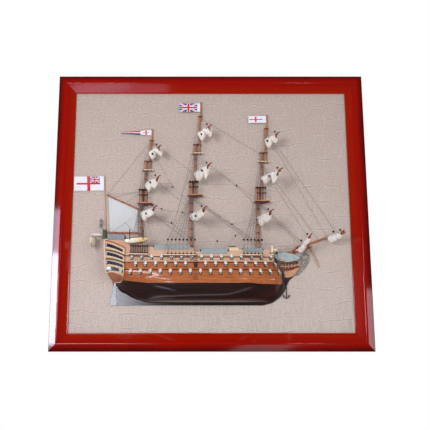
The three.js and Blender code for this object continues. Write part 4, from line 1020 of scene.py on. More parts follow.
def along_side(bm, xs, level, height, inner, outer, tone=0, rounded=0.0):
    """A bar that follows the side of the hull, between two distances from its skin."""
    def section(x):
        z = level(x)
        skin = breadth_at(x, z)
        low, high = skin + inner, skin + outer
        if not rounded:
            return [at(x, low, z), at(x, high, z), at(x, high, z + height), at(x, low, z + height)]
        arc = [
            at(x, lerp(low, high, 0.5 + 0.5 * math.cos(a)), z + height - rounded + rounded * math.sin(a))
            for a in evenly(6, 0, math.pi)]
        return [at(x, low, z), at(x, high, z), *arc]
    return sweep(bm, xs, section, tone)


def level_at(z):
    return lambda x: z


def rows_between(low, high, shares):
    """Rows of the hull's side, each as its height along the ship and how proud it stands."""
    return [(lambda x, s=s: lerp(low(x), high(x), s), 0) for s in shares]


def rows_along(line, profile):
    """Rows of a moulding along a line; its profile is height from the line and how proud."""
    return [(lambda x, dz=dz: line(x) + dz, proud) for dz, proud in profile]


def build_hull():
    """The shell up to the rails and the decks inside them, in one closed skin."""
    bead = [(-1.5, 0), (-1.1, 0.7), (0, 1), (1.1, 0.7), (1.5, 0)]
    wale = [(-5, 0), (-4.2, 0.35), (-2.6, 0.6), (2.6, 0.6), (4.2, 0.35), (5, 0)]
    bilge = (0.015, 0.04, 0.08, 0.13, 0.2, 0.28, 0.37, 0.47, 0.57, 0.67, 0.77, 0.87, 0.95, 1)
    under = [
        *rows_between(level_at(KEEL_EDGE), tuck_at, (0, 0.5, 0.93, 1)),
        *rows_between(tuck_at, level_at(64.5), bilge),
    ]
    rows = [
        *under,
        *rows_along(level_at(WALE_LEVEL), wale),
        *[(level_at(z), 0) for z in (80, 85, 90)],
        *rows_along(level_at(LOWER_STRIPE), bead),
        *[(level_at(z), 0) for z in (101, 106, BEAKHEAD_LEVEL - 0.1, BEAKHEAD_LEVEL + 1.55)],
        *rows_along(level_at(UPPER_STRIPE), bead),
        *rows_along(rail_at, [(-12, 0), (-8, 0), (-4.5, 0)]),
        *rows_along(rail_at, bead),
        *rows_between(lambda x: rail_at(x) + 1.5, top_at, (0.33, 0.66, 1)),
    ]
    side_rows = len(rows)
    under_rows = len(under)

    eased = [lerp(s, (1 - math.cos(math.pi * s)) / 2, 0.6) for s in evenly(110)]
    span = BEAKHEAD_X - TAFFRAIL_X
    ends = [deck["end"] for deck in DECKS[:-1]]
    breaks = [(end + side * GAP - TAFFRAIL_X) / span for end in ends for side in (-1, 1)]
    rims = [(BULWARK + side * GAP) / span for side in (-1, 1)]
    columns = sorted([*eased, *breaks, *rims, *[1 - rim for rim in rims]])
    columns = [-1, *columns, 2]

    def place(u, row):
        share = clamp(u)
        middle = share != u
        nominal = lerp(TAFFRAIL_X, BEAKHEAD_X, share)
        if row < under_rows:
            low = lerp(STERNPOST_HEAD, STEM_X, share)
            z = rows[row][0](low)
            x = lerp(stern_at(z), stem_at(z), share)
            swell = smoothstep(z - tuck_at(low), -1, 3 + 0.1 * max(0, 120 - low)) if row > 3 else 0
            return at(x, 0 if middle else lerp(KEEL_HALF, breadth_at(x, z), swell) + KEEL_SKIN, z)
        if row < side_rows:
            height, proud = rows[row]
            z = height(nominal)
            x = lerp(stern_at(z), stem_at(z), share)
            return at(x, 0 if middle else breadth_at(x, z) + proud, z)
        top = top_at(nominal)
        x = lerp(stern_at(top), stem_at(top), share)
        inside = TAFFRAIL_X + BULWARK < nominal < BEAKHEAD_X - BULWARK
        deck = top - (DECK_DROP if inside else 0)
        step = row - side_rows
        if step < 2:
            z = (top, deck)[step]
            return at(x, 0 if middle else breadth_at(x, z) - BULWARK, z)
        if step == 2:
            return at(x, 0, deck)
        return at(lerp(stern_at(KEEL_EDGE), stem_at(KEEL_EDGE), share), 0, KEEL_EDGE)

    bm = start_mesh()
    verts = lattice(bm, columns, range(side_rows + 5), place)
    uv = bm.loops.layers.uv.verify()
    for face in bm.faces:
        if min(loop[uv].uv.y for loop in face.loops) >= side_rows:
            face.material_index = 1
    close_and_turn(bm, verts)
    bmesh.ops.dissolve_degenerate(bm, dist=1e-4, edges=bm.edges)
    finish_piece("hull_shell", bm, [HULL_WOOD, DECK], ["half_hull"], sharp=28)


def build_keel():
    """Keel, stem and knee of the head in one plate, with a pale cheek on the knee."""
    forefoot = spline(from_stem([
        (-57, 0), (-35, 5), (-21, 13), (-7, 24), (4, 38), (13, 58), (20, 70), (31, 80), (35, 93),
        (46, 102)]), 5)
    outline = [
        (STERNPOST_FOOT, 0), *forefoot, *from_stem([(20, 98), (-12, 94), (-14, 60), (-55, 10)]),
        (STERNPOST_FOOT + 8, 10), (STERNPOST_FOOT - 0.6, KEEL_DEPTH)]
    bm = start_mesh()
    plate(bm, outline, (0, KEEL_HALF), 0.25)
    finish_piece("keel_and_stem", bm, KEEL_WOOD, sharp=15)

    bm = start_mesh()
    cheek = spline(from_stem([
        (3, 96), (6, 78), (18, 77), (29, 81), (38, 92), (46, 104), (37, 103), (28, 99), (14, 97)]), 4)
    plate(bm, cheek, (KEEL_HALF, KEEL_HALF + 4.5), 1.2)
    finish_piece("knee_cheek", bm, CHEEK_WOOD)


def port_places():
    for row, (first, count, level) in enumerate(PORT_ROWS):
        for index in range(count):
            yield row, index, first + index * PORT_PITCH, level


def build_ports():
    """Lids, openings and gun barrels of all three rows, the carved entry port and its steps."""
    lids, frames, guns = start_mesh(), start_mesh(), start_mesh()
    width, height, thickness = LID
    barrel = [
        (0, -2), (2.2, -2), (2.0, 6.4), (2.5, 7.0), (2.7, 8.0), (2.4, 8.8), (1.3, 8.9), (1.2, 6), (0, 6)]
    swing = Matrix.Rotation(-math.radians(LID_OPEN), 4, "X")
    for row, index, x, level in port_places():
        if (row, index) == ENTRY:
            continue
        hinge = on_side(x, level + HINGE_RISE, 1.0) @ swing
        block(lids, around(0, width / 2), (0, thickness), (-height, 0), 0.35, 0, hinge)
        block(lids, around(0, width / 2 - 1.2), (thickness, thickness + 0.35),
              (-height + 1.4, -1.4), 0.15, 1, hinge)
        for side in (-1, 1):
            block(lids, around(side * width * 0.27, 0.4), (thickness, thickness + 0.6),
                  (-height + 2, 0.6), 0.1, 2, hinge)
        hole = on_side(x, level)
        block(frames, (-4.2, 4.2), (-0.5, 0.7), (-4.4, 5.2), 0.3, 0, hole)
        block(frames, (-3.4, 3.4), (0.3, 0.9), (-3.6, 5.2), 0.1, 1, hole)
        lathe(guns, barrel, hole @ Matrix.Rotation(math.pi / 2, 4, "X"), 10)
    finish_piece("gun_lids", lids, [LID_METAL, LID_FACE, IRON])
    finish_piece("gun_port_frames", frames, [GREEN_TRIM, BLACK_WOOD])
    finish_piece("gun_barrels", guns, GUN_METAL, sharp=40)

    bm = start_mesh()
    row, index = ENTRY
    x = PORT_ROWS[row][0] + index * PORT_PITCH
    level = PORT_ROWS[row][2]
    door = on_side(x, level) @ Matrix.Scale(0.72, 4)
    block(bm, (-5.5, 5.5), (-3, 2.4), (-7, 7), 0.5, 0, door)
    block(bm, (-3.2, 3.2), (2, 2.9), (-6.4, 4.2), 0.2, 1, door)
    block(bm, (-8, 8), (0, 4.6), (6.2, 7.8), 0.4, 0, door)
    for side in (-1, 1):
        rod(bm, door @ at(side * 4.6, 3, -6.6), door @ at(side * 4.6, 3, 6.4), 0.9, 0.7, 8, 2)
        rod(bm, door @ at(side * 5, 3, 7), door @ at(side * 9.5, 3.4, 10), 0.9, 0.4, 8, 2)
        rod(bm, door @ at(side * 4, 3, -7), door @ at(side * 8, 2, -10), 0.8, 0.4, 8, 2)
    ball(bm, door @ at(0, 3, 9), 2.4, (1, 0.6, 1), 2, 2)
    finish_piece("entry_port", bm, [GREEN_TRIM, BLACK_WOOD, IRON])

    bm = start_mesh()
    for z in [68.5 + 5.2 * k for k in range(4)] + [119.5 + 4.6 * k for k in range(4)]:
        block(bm, (-6, 6), (-0.5, 1.9), (0, 1.6), 0.4, 0, on_side(x, z))
    finish_piece("side_steps", bm, DARK_WOOD)


def channel_span(mast):
    aft, fore = mast["channel"]
    return mast["x"] - aft, mast["x"] + fore


def build_side_trim():
    """Channels with their brackets, rail caps, and hammock nettings with their cranes and ends."""
    bm = start_mesh()
    for mast in MASTS.values():
        aft, fore = channel_span(mast)
        xs = evenly(16, aft, fore)
        along_side(bm, xs, lambda x: rail_at(x) + 1.4, 2.2, -1, 8, 0)
        along_side(bm, xs, lambda x: rail_at(x) + 0.2, 1.2, -1, 5.5, 1)
        for x in evenly(8, aft + 2, fore - 2):
            block(bm, (-0.6, 0.6), (0, 6.5), (-4.5, 0), 0.2, 1, on_side(x, rail_at(x) + 1))
    finish_piece("channels", bm, [CREAM_TRIM, DARK_WOOD])

    bm = start_mesh()
    for deck, start in zip(DECKS, [TAFFRAIL_X, *[deck["end"] for deck in DECKS]]):
        xs = evenly(24, start + 0.6, deck["end"] - 0.6)
        along_side(bm, xs, lambda x: top_at(x) - 0.4, 1.9, -BULWARK - 0.7, 0.9)
    finish_piece("rail_caps", bm, CREAM_TRIM)

    bm = start_mesh()
    for deck in DECKS:
        aft, fore, height = deck["netting"]
        xs = evenly(30, aft, fore)
        poop = deck is DECKS[0]
        lap = 0.5 if poop else 4.5
        tone = 2 if poop else 0
        along_side(bm, xs, lambda x: top_at(x) - lap, height + lap, -NETTING_WIDTH, 1.6, tone, 2.4)
        for x in evenly(max(3, round((fore - aft) / 11)), aft, fore):
            z = top_at(x)
            skin = breadth_at(x, z)
            for out in (skin - NETTING_WIDTH - 0.3, skin):
                rod(bm, at(x, out, z), at(x, out, z + height - 1), 0.45, sides=6, tone=1)
            across = [at(x, out, z + height) for out in (skin - NETTING_WIDTH, skin)]
            rope(bm, across, 0.45, 6, 1)
        for x in around((aft + fore) / 2, (fore - aft) / 2 + 1.6):
            z = top_at(x)
            skin = breadth_at(x, z)
            block(bm, around(x, 1.6), (skin - NETTING_WIDTH, skin), (z, z + 0.7 * height), 0.5, 1)
    finish_piece("hammock_nettings", bm, [NETTING, IRON, POOP_NETTING], sharp=40)


# Quarter gallery

GALLERY = {"aft": -13, "fore": 47, "foot": 62, "shelf": 86, "top": 156.5, "rake": 6, "proud": 8}
GALLERY_SEAT = 3.2
FOOT_MIDDLE = 0.59
FOOT_HALF = 10
SHELF_TILT = 20
TOP_TILT = 22
BODY_STEPS = 24
# Middle of each row of windows at its fore end, and how much lower than the body's tilt it starts aft
WINDOW_ROWS = [(91.5, 11), (104.4, 9), (124.6, 5.5), (144.8, 1.5)]


def gallery_at(u, level, proud=0.0, seat_only=False):
    """A point of the gallery, u from its aft to its fore edge; level is its height at the fore edge."""
    g = GALLERY
    taper = clamp((level - g["foot"]) / (g["shelf"] - g["foot"])) ** 0.6
    rise = clamp((level - g["shelf"]) / (g["top"] - g["shelf"]))
    middle = lerp(g["aft"], g["fore"], FOOT_MIDDLE)
    aft = lerp(middle - FOOT_HALF, g["aft"] + g["rake"] * (1 - rise), taper)
    x = lerp(aft, lerp(middle + FOOT_HALF, g["fore"], taper), u)
    z = level + lerp(SHELF_TILT, TOP_TILT, rise) * taper * (1 - u)
    seat = breadth_at(clamp(x, stern_at(z), g["fore"]), z) + GALLERY_SEAT
    swell = lerp(1, 0.35, u) * lerp(0.35, 1, taper)
    return at(x, seat if seat_only else seat + g["proud"] * swell + proud, z)


def arch(u):
    """The gallery's bands rise a little towards their middle."""
    return 3.2 * (1 - (2 * clamp(u) - 1) ** 2)


def gallery_band(bm, low, high, inner, outer, tone, ends=(0.0, 1.0), taper=0.0, rounded=False, sag=0.0):
    """A strip along the gallery's face between two levels, narrowing towards its fore end."""
    def corners(u):
        share = (u - ends[0]) / (ends[1] - ends[0])
        rise = arch(u) - sag * (1 - u)
        base = low + rise
        top = lerp(high, low, taper * share) + rise
        face = [gallery_at(u, base, outer), gallery_at(u, top, outer)]
        if rounded:
            middle = lerp(inner, outer, 0.5)
            face = [
                gallery_at(u, lerp(base, top, 0.5 - 0.5 * math.cos(a)), lerp(middle, outer, math.sin(a)))
                for a in evenly(6, 0, math.pi)]
        return [gallery_at(u, base, inner), *face, gallery_at(u, top, inner)]
    return sweep(bm, evenly(24, *ends), corners, tone)


def build_gallery():
    """The quarter gallery's body, mouldings, windows and pilaster, and the lights of the stern."""
    g = GALLERY
    levels = [lerp(g["foot"], g["shelf"], share ** 1.6) for share in evenly(16)]
    levels += evenly(BODY_STEPS, g["shelf"], g["top"])[1:]
    us = evenly(20)

    def section(level):
        outer = [gallery_at(u, level) for u in us]
        inner = [gallery_at(u, level, seat_only=True) for u in reversed(us)]
        return outer + inner

    bm = start_mesh()
    sweep(bm, levels, section)
    uv = bm.loops.layers.uv.verify()
    for face in bm.faces:
        if min(loop[uv].uv.x for loop in face.loops) < g["shelf"] - 8:
            face.material_index = 1
    finish_piece("gallery_body", bm, [PALE_WOOD, GALLERY_FOOT_WOOD], ["quarter_gallery"])

    trim, panes = start_mesh(), start_mesh()

    def moulding(low, high, outer, tone, sag=0.0):
        gallery_band(trim, low, high, -0.5, outer, tone, rounded=True, sag=sag)

    for k, (middle, sag) in enumerate(WINDOW_ROWS):
        fore = 0.96 - 0.02 * k
        low, tone, glint = (middle - 4.6, 0, 0.15) if k else (middle - 5.6, 1, 0.34)
        gallery_band(panes, low, middle + 4.6, -0.6, 0.8, tone, (0.08, fore), 0.25, sag=sag)
        # A pale strip at the aft end of each row of panes is a painted glint, reflected light on the
        # glass.
        gallery_band(panes, middle - 3, middle + 3.2, 0.2, 1.1, 2, (0.1, glint), sag=sag)
        if k:
            for share in evenly(3, 0.3, fore - 0.15):
                rise = middle + arch(share) - sag * (1 - share)
                bar = [gallery_at(share, rise + dz, 1.0) for dz in (-4, 2.6)]
                rope(panes, bar, 0.3, 5, 3)
        moulding(middle + 4.6, middle + 7.0, 2.2, 0, sag)
        if k in (1, 2):
            moulding(middle + 6.9, middle + 11.4, 2.4, 1, sag)
        if k > 1:
            moulding(middle - 8.4, middle - 4.8, 2.2, 0, sag)
    moulding(g["shelf"] - 6.2, g["shelf"] - 4.6, 1.4, 0, 6.5)
    moulding(g["top"] - 3.0, g["top"] + 0.6, 3.0, 2)
    finish_piece("gallery_mouldings", trim, [CREAM_TRIM, GREEN_TRIM, BOOM_WOOD], sharp=50)
    windows = [GLASS, BLACK_GLASS, PANE_GLINT, PANE_BARS]
    finish_piece("gallery_windows", panes, windows, sharp=40)

    bm = start_mesh()
    spots = [gallery_at(0.045, level, 0.4) for level in evenly(10, g["shelf"] + 2, g["top"] + 1)]
    corners = [Vector(corner) for corner in (
        (-2.4, 1, 0), (2.4, 1, 0), (2.0, -2.6, 0), (-2.0, -2.6, 0))]
    sweep(bm, range(len(spots)), lambda k: [spots[k] + corner for corner in corners])
    for spot, half in ((spots[0], 3.2), (spots[-1], 3.0)):
        block(bm, around(spot.x, half), (-spot.y - 2.5, -spot.y + 3.2), around(spot.z, 1.2), 0.6)
    edge = [gallery_at(1.0, level, 0.3) for level in evenly(12, g["foot"], g["shelf"] - 4)]
    edge += [gallery_at(u, g["foot"], -0.2) for u in evenly(5, 1, 0)]
    rope(bm, [gallery_at(0, level, 0.3) for level in evenly(12, g["foot"], g["shelf"] - 2)], 0.5, 6, 1)
    rope(bm, edge, 0.5, 6, 1)
    finish_piece("gallery_pilaster", bm, [PILASTER_WOOD, CREAM_TRIM])

    bm = start_mesh()
    for level in (106, 124, 142, 160):
        out = 0.72 * breadth_at(TAFFRAIL_X, level)
        x = stern_at(level) - 0.5
        block(bm, (x - 1.2, x + 0.6), (3, out), (level, level + 10), 0.4)
        for share in evenly(6):
            y = lerp(3, out, share)
            block(bm, (x - 2, x), around(y, 0.5), (level - 1, level + 11), 0.2, 1)
        block(bm, (x - 2.4, x + 0.6), (0.5, out + 4), (level - 3.6, level - 1.2), 0.5, 2)
    finish_piece("stern_lights", bm, [GLASS, PANE_BARS, CREAM_TRIM])


def build_rudder():
    """The rudder's blade with three straps that reach onto the sternpost."""
    lean = (STERNPOST_FOOT - STERNPOST_HEAD) / 66
    head = WATERLINE - 1

    def fore(z):
        return STERNPOST_FOOT - GAP - lean * z

    outline = [
        (fore(0), 0), (fore(head), head), (fore(head) - 5.5, head),
        (fore(head * 0.7) - 8.6, head * 0.7), (fore(head * 0.4) - 14, head * 0.4), (fore(0) - 21, 0)]
    bm = start_mesh()
    plate(bm, outline, (0, KEEL_HALF), 0.3)
    for z in (12, 30, 48):
        block(bm, (fore(z) - 9, fore(z) + 7), (KEEL_HALF - 0.2, KEEL_HALF + 0.45), (z, z + 2), 0.2)
    finish_piece("rudder_blade", bm, KEEL_WOOD, ["rudder"], sharp=15)


# Masts

def mast_frame(mast):
    """A mast's own coordinates on the ship, with z along the mast."""
    lean = Matrix.Rotation(math.radians(mast["lean"]), 4, "Y")
    return Matrix.Translation((mast["x"], -LOWER_RADIUS, 0)) @ lean


def mast_point(name, section, level, out=0.0, shift=0.0):
    """A point on a mast in ship coordinates, level millimetres up the mast."""
    return mast_frame(MASTS[name]) @ Vector((section * SPACING + shift, -out, level))


def build_mast(name):
    """Lower mast, platform, topmast and topgallant mast, each with the cap or crosstrees on it."""
    mast = MASTS[name]
    top, crosstrees, pole, truck = mast["levels"]
    place = SHIP @ mast_frame(mast)
    foot = top_at(mast["x"] - LOWER_RADIUS) - DECK_DROP
    lower_cap = top + LOWER_HEAD
    upper_cap = crosstrees + TOPMAST_HEAD

    def upright(bm, x, z0, z1, radius, end_radius=None, tone=0, sides=20):
        return rod(bm, (x, 0, z0), (x, 0, z1), radius, end_radius, sides, tone)

    def cap(bm, x0, x1, reach, z0, z1, tone=1):
        block(bm, (x0, x1), (-LOWER_RADIUS, reach - LOWER_RADIUS), (z0, z1), 0.8, tone)

    def finish_part(part, *more):
        finishes = [MAST_WOOD, CAP_WOOD, ROPE_BAND, *more]
        finish_piece(f"{name}_{part}", bm, finishes, [f"{part}_{name}"], place, 35)

    bm = start_mesh()
    upright(bm, 0, foot, lower_cap, LOWER_RADIUS, LOWER_RADIUS * 0.88)
    for share in evenly(5, 0.1, 0.86):
        for turn in range(3):
            level = lerp(foot, top, share) + turn * 1.1
            upright(bm, 0, level, level + 0.9, LOWER_RADIUS + 0.35, tone=2)
    block(bm, (-4, 4), (-4, 5), (top + 4, lower_cap), 0.8)
    cap(bm, -7, SPACING + 5.5, 12, lower_cap, lower_cap + 4)
    for side in (-1, 1):
        block(bm, (-7, SPACING + 7), around(side * 5, 1), (top - 4, top), 0.4, 1)
    upright(bm, 0, foot - 1, foot + 3, LOWER_RADIUS + 1.6, LOWER_RADIUS + 0.8, 1)
    finish_part("lower_mast")

    build_top(name, top, place)

    bm = start_mesh()
    upright(bm, SPACING, top + 4, upper_cap, TOPMAST_RADIUS, TOPMAST_RADIUS * 0.88)
    for share in (0.25, 0.55, 0.8):
        level = lerp(lower_cap, crosstrees, share)
        upright(bm, SPACING, level, level + 1.6, TOPMAST_RADIUS + 0.3, tone=2)
    cap(bm, SPACING - 11, SPACING + 22, 16, crosstrees, crosstrees + 2.6, 3)
    cap(bm, SPACING - 9, SPACING + 18, 13, crosstrees + 2.6, crosstrees + 4.4, 1)
    for shift in (-6, 6, 16):
        block(bm, around(SPACING + shift, 0.9), (-4, 14), (crosstrees - 2, crosstrees), 0.3, 1)
    cap(bm, SPACING - 5.5, 2 * SPACING + 5, 11, upper_cap, upper_cap + 3.6)
    finish_part("topmast", CREAM_TRIM)

    bm = start_mesh()
    upright(bm, 2 * SPACING, crosstrees + 3.4, pole, TOPGALLANT_RADIUS, TOPGALLANT_RADIUS * 0.88)
    cap(bm, 2 * SPACING - 3.6, POLE_X + 3.5, 9, pole - 4, pole)
    upright(bm, POLE_X, pole - 16, truck, POLE_RADIUS, POLE_RADIUS * 0.88, 3, 14)
    upright(bm, 2 * SPACING, upper_cap + 12, upper_cap + 13.4, TOPGALLANT_RADIUS + 0.3, tone=2)
    lathe(bm, [(0, truck - 1), (2.6, truck - 1), (3, truck - 0.2), (2.2, truck + 0.7), (0, truck + 0.9)],
          Matrix.Translation((POLE_X, 0, 0)), 14, 1)
    finish_part("topgallant_mast", POLE_WOOD)


def deadeye(bm, centre, rim, face, half=1.2):
    """A round block whose flat face is turned to the viewer."""
    lathe(bm, [(0, -half), (face, -half), (rim, 0), (face, half), (0, half)],
          Matrix.Translation(centre) @ Matrix.Rotation(math.pi / 2, 4, "X"), 10)


def build_top(name, level, place):
    """The platform on a lower mast, with its rim, battens, and the deadeyes and rail above it."""
    length, aft, reach, corner = 46, 11, 30, 15
    fore = length - aft
    near, far = -LOWER_RADIUS, reach - LOWER_RADIUS
    front = [
        (fore - corner + corner * math.cos(a), far - corner + corner * math.sin(a))
        for a in evenly(8, 0, math.pi / 2)]
    outline = [(-aft, near), (fore, near), *front, (-aft + 4, far), (-aft, far - 4)]
    bm = start_mesh()

    def slab(points, z0, z1, edge, tone):
        verts = [bm.verts.new((x, -out, z0)) for x, out in points]
        made = bmesh.ops.extrude_face_region(bm, geom=[bm.faces.new(verts)])
        far_verts = [item for item in made["geom"] if isinstance(item, bmesh.types.BMVert)]
        bmesh.ops.translate(bm, vec=(0, 0, z1 - z0), verts=far_verts)
        everything = verts + far_verts
        bmesh.ops.recalc_face_normals(bm, faces=faces_of(everything))
        rims = [e for e in edges_of(everything) if abs(e.verts[0].co.z - e.verts[1].co.z) < 1e-6]
        paint(everything + round_edges(bm, rims, edge), tone)

    slab(outline, level, level + 2.4, 0.5, 0)
    inner = [(lerp(12, x, 0.86), lerp(6, out, 0.86)) for x, out in outline]
    slab(inner, level + 2.4, level + 3.2, 0.2, 1)
    for out in evenly(5, 0, far - 3):
        block(bm, (-aft + 2, fore - 4), around(out, 0.5), (level - 1, level), 0.2, 2)
    finishes = [TOP_WOOD, PALE_WOOD, CAP_WOOD]
    finish_piece(f"{name}_top_platform", bm, finishes, [f"top_{name}"], place)

    bm = start_mesh()
    rail = level + 23
    out = 23
    for x in evenly(3, *TOP_SHROUDS):
        rod(bm, at(x, out, level + 2), at(x, out, rail), 0.38, sides=6)
        deadeye(bm, at(x, out, rail), 2.8, 2.3, 1.1)
        for shift in (-0.9, 0.9):
            upper = at(x + shift * 0.8, out - 0.6, level + 37)
            rod(bm, at(x + shift, out, rail), upper, 0.16, sides=4)
        deadeye(bm, at(x, out - 0.8, level + 38), 3.4, 2.9, 1.4)
    low, high = TOP_SHROUDS
    rod(bm, at(low - 2, 21, rail - 1), at(high + 2, 21, rail - 1), 0.6, sides=6)
    finish_piece(f"{name}_top_deadeyes", bm, BLACK_WOOD, place=place, sharp=40)


# Yards and sails

def lobe(u, shape):
    centre, half, drop = shape
    return drop * max(0.0, 1 - ((u - centre) / half) ** 2) ** 0.6


def gathered_sail(name, node, place, start, end, rise, inner, outer, sway, base):
    """Cotton hauled up under a yard into a pouch near the mast and a hanging lobe near the tip."""
    seed = chance.uniform(0, 100)
    steep = math.tan(rise)

    def form(u, s):
        t = abs(s)
        side = 1 if s > 0 else -1
        tail = lobe(u, outer)
        drop = base + lobe(u, inner) + tail
        drop *= lerp(0.55, 1, clamp(u / 0.1)) * lerp(0.6, 1, clamp((1 - u) / 0.06))
        drop += 1.8 * noise.noise(Vector((u * 6, seed, 0)))
        hang = (1 - t) ** 1.15
        along = lerp(start, end, u) - 0.12 * tail * hang
        z = YARD_ROOT + 0.4 - (drop + YARD_ROOT) * hang
        girth = lerp(7.0, 4.6, u) * math.sin(math.pi * clamp(lerp(0.04, 0.94, t ** 0.75)))
        fold = 1.3 * math.sin(u * 26 + t * 5 + 3 * noise.noise(Vector((u * 3, seed, s * 2))))
        fold += 2.2 * noise.noise(Vector((u * 7, seed + 5, s * 4)))
        x = side * (girth + fold * math.sin(math.pi * clamp(t)))
        x += sway * tail / outer[2] * hang ** 1.2
        return Vector((x, -along, z + along * steep))

    bm = start_mesh()
    lattice(bm, evenly(64), evenly(36, -1, 1), form)
    area = sum(face.calc_area() for face in bm.faces)
    sail = finish_piece(
        name, bm, SAIL_CLOTH, [node], place, 60, wall=0.45, inward=False)


def build_yard(name, node, place, length, rise=0.0):
    """A half yard with its boom, bands and the thick forked ferrule at its arm."""
    turn = place @ Matrix.Rotation(-rise, 4, "X")
    bm = start_mesh()
    rod(bm, (0, 0, 0), (0, -length, 0), YARD_ROOT, YARD_TIP + 0.6, 14)
    rod(bm, (0, -length + 8, 0), (0, -length, 0), 3.1, 2.9, 14)
    ball(bm, (0, -length, 0), 2.9, (1, 0.5, 1))
    boom_end = (YARD_TIP + 4, -1.05 * length, 6.6)
    rod(bm, (YARD_TIP, -0.6 * length, YARD_TIP), boom_end, 1.5, 1.7, 10)
    for share in (0.62, 0.93):
        iron_end = (YARD_TIP + 0.5 + 2.4 * share, -share * length, 4.4 * share + 1)
        rod(bm, (0, -share * length, 0.5), iron_end, 1.9, sides=10)
    for share in evenly(5, 0.12, 0.9):
        rod(bm, (0, -share * length, 0), (0, -share * length - 1.2, 0), 3.0, sides=14, tone=2)
    finish_piece(name, bm, [SPAR_WOOD, CAP_WOOD, ROPE_BAND], [node], turn, 40)


def hang_blocks(bm, place, length, share, z, rise=0.0):
    """The black blocks of one sail: one on its face and one above the yardarm."""
    steep = math.tan(rise)
    for x, along, level, size in ((-8, share, z, 2.9), (-6, 0.96, 7.5, 2.7)):
        spot = Vector((x, -along * length, level + along * length * steep))
        ball(bm, place @ spot, size, (1, 0.9, 1.15))


def build_yards(blocks, lines):
    """The nine half yards of the masts with their sails, blocks and lifts."""
    for mast_name, section, sail, level, reach, brace, inner, outer, sway, base, (share, z) in YARDS:
        mast = MASTS[mast_name]
        angle = math.radians(brace)
        start = SECTION_RADII[section] + GAP
        length = (reach - LOWER_RADIUS) / math.cos(angle) - start
        spot = (section * SPACING + start * math.sin(angle), -start * math.cos(angle), level)
        local = mast_frame(mast) @ Matrix.Translation(spot) @ Matrix.Rotation(angle, 4, "Z")
        place = SHIP @ local
        full = f"{mast_name}_{sail}"
        build_yard(f"{full}_yard", f"yard_{full}", place, length)
        gathered_sail(
            f"{full}_sail", f"sail_{full}", place, 4.5, 0.95 * length, 0.0, inner, outer, sway, base)
        hang_blocks(blocks, local, length, share, z)
        arm = local @ Vector((-6, -0.96 * length, 7.5))
        rope(lines, [arm, mast_point(mast_name, section, level + 26)], 0.22)


def on_spar(along, lift=0.0):
    """A point in ship coordinates, given along the bowsprit and above its axis."""
    b = BOWSPRIT
    steeve = math.radians(b["steeve"])
    return at(
        b["heel"] + along * math.cos(steeve) - lift * math.sin(steeve), b["radius"],
        b["level"] + along * math.sin(steeve) + lift * math.cos(steeve))


def build_bowsprit(blocks):
    """Bowsprit, jibboom, dolphin striker, and the two yards below with their sails."""
    b, j = BOWSPRIT, JIBBOOM
    steeve = math.radians(b["steeve"])
    place = SHIP @ Matrix.Translation(on_spar(0)) @ Matrix.Rotation(-steeve, 4, "Y")
    bm = start_mesh()
    rod(bm, (-6, 0, 0), (b["length"] - 2, 0, 0), b["radius"], b["radius"] * 0.88, 20)
    for share in evenly(5, 0.12, 0.8):
        x = share * b["length"]
        rod(bm, (x, 0, 0), (x + 3.4, 0, 0), b["radius"] + 0.5, b["radius"] + 0.45, 20, 2)
    block(bm, (b["length"] - 4, b["length"]), (-5, 5), (-5, 13), 0.8, 1)
    block(bm, (60, 92), (-2.2, 2.2), (4, 7), 0.6)
    finishes = [BOOM_WOOD, CAP_WOOD, ROPE_BAND]
    finish_piece("bowsprit_spar", bm, finishes, ["bowsprit"], place, 35)
    bm = start_mesh()
    heel, tip, z = j["heel"], j["heel"] + j["length"], j["lift"]
    rod(bm, (heel, 0, z), (tip, 0, z), j["radius"], j["radius"] * 0.7, 18)
    for x in (heel + 4, heel + 96, tip - 6):
        rod(bm, (x, 0, z), (x + 2.2, 0, z), j["radius"] + 0.4, sides=16, tone=1)
    finish_piece("jibboom_spar", bm, [BOOM_WOOD, CAP_WOOD], ["jibboom"], place, 35)
    turn = math.radians(21) - steeve
    head = Vector((b["length"] + 4.4, 0, b["radius"] - 2.2))
    foot = head + 65 * Vector((math.sin(turn), 0, -math.cos(turn)))
    bm = start_mesh()
    rod(bm, head, foot, 2.6, 1.5, 14)
    rod(bm, lerp(head, foot, 0.06), lerp(head, foot, 0.1), 2.7, sides=14, tone=1)
    finish_piece("dolphin_striker_spar", bm, [STAFF_WOOD, CAP_WOOD],
                 ["dolphin_striker"], place, 35)

    for name, lift, along, reach, rise, brace, inner, outer, sway, base, (share, z) in SPRITSAILS:
        rising, braced = math.radians(rise), math.radians(brace)
        radius = j["radius"] if lift else b["radius"]
        start = radius + GAP + YARD_ROOT * math.sin(rising + braced)
        spot = on_spar(along, lift) + at(start * math.sin(braced), start * math.cos(braced), 0)
        local = Matrix.Translation(spot) @ Matrix.Rotation(braced, 4, "Z")
        length = ((reach - b["radius"]) / math.cos(braced) - start) / math.cos(rising)
        span = length * math.cos(rising)
        build_yard(f"{name}_yard", f"yard_{name}", SHIP @ local, length, rising)
        gathered_sail(f"{name}_cloth", f"sail_{name}", SHIP @ local, 2, 0.95 * span, rising,
                      inner, outer, sway, base)
        hang_blocks(blocks, local, span, share, z, rising)


# Driver, staff and flags

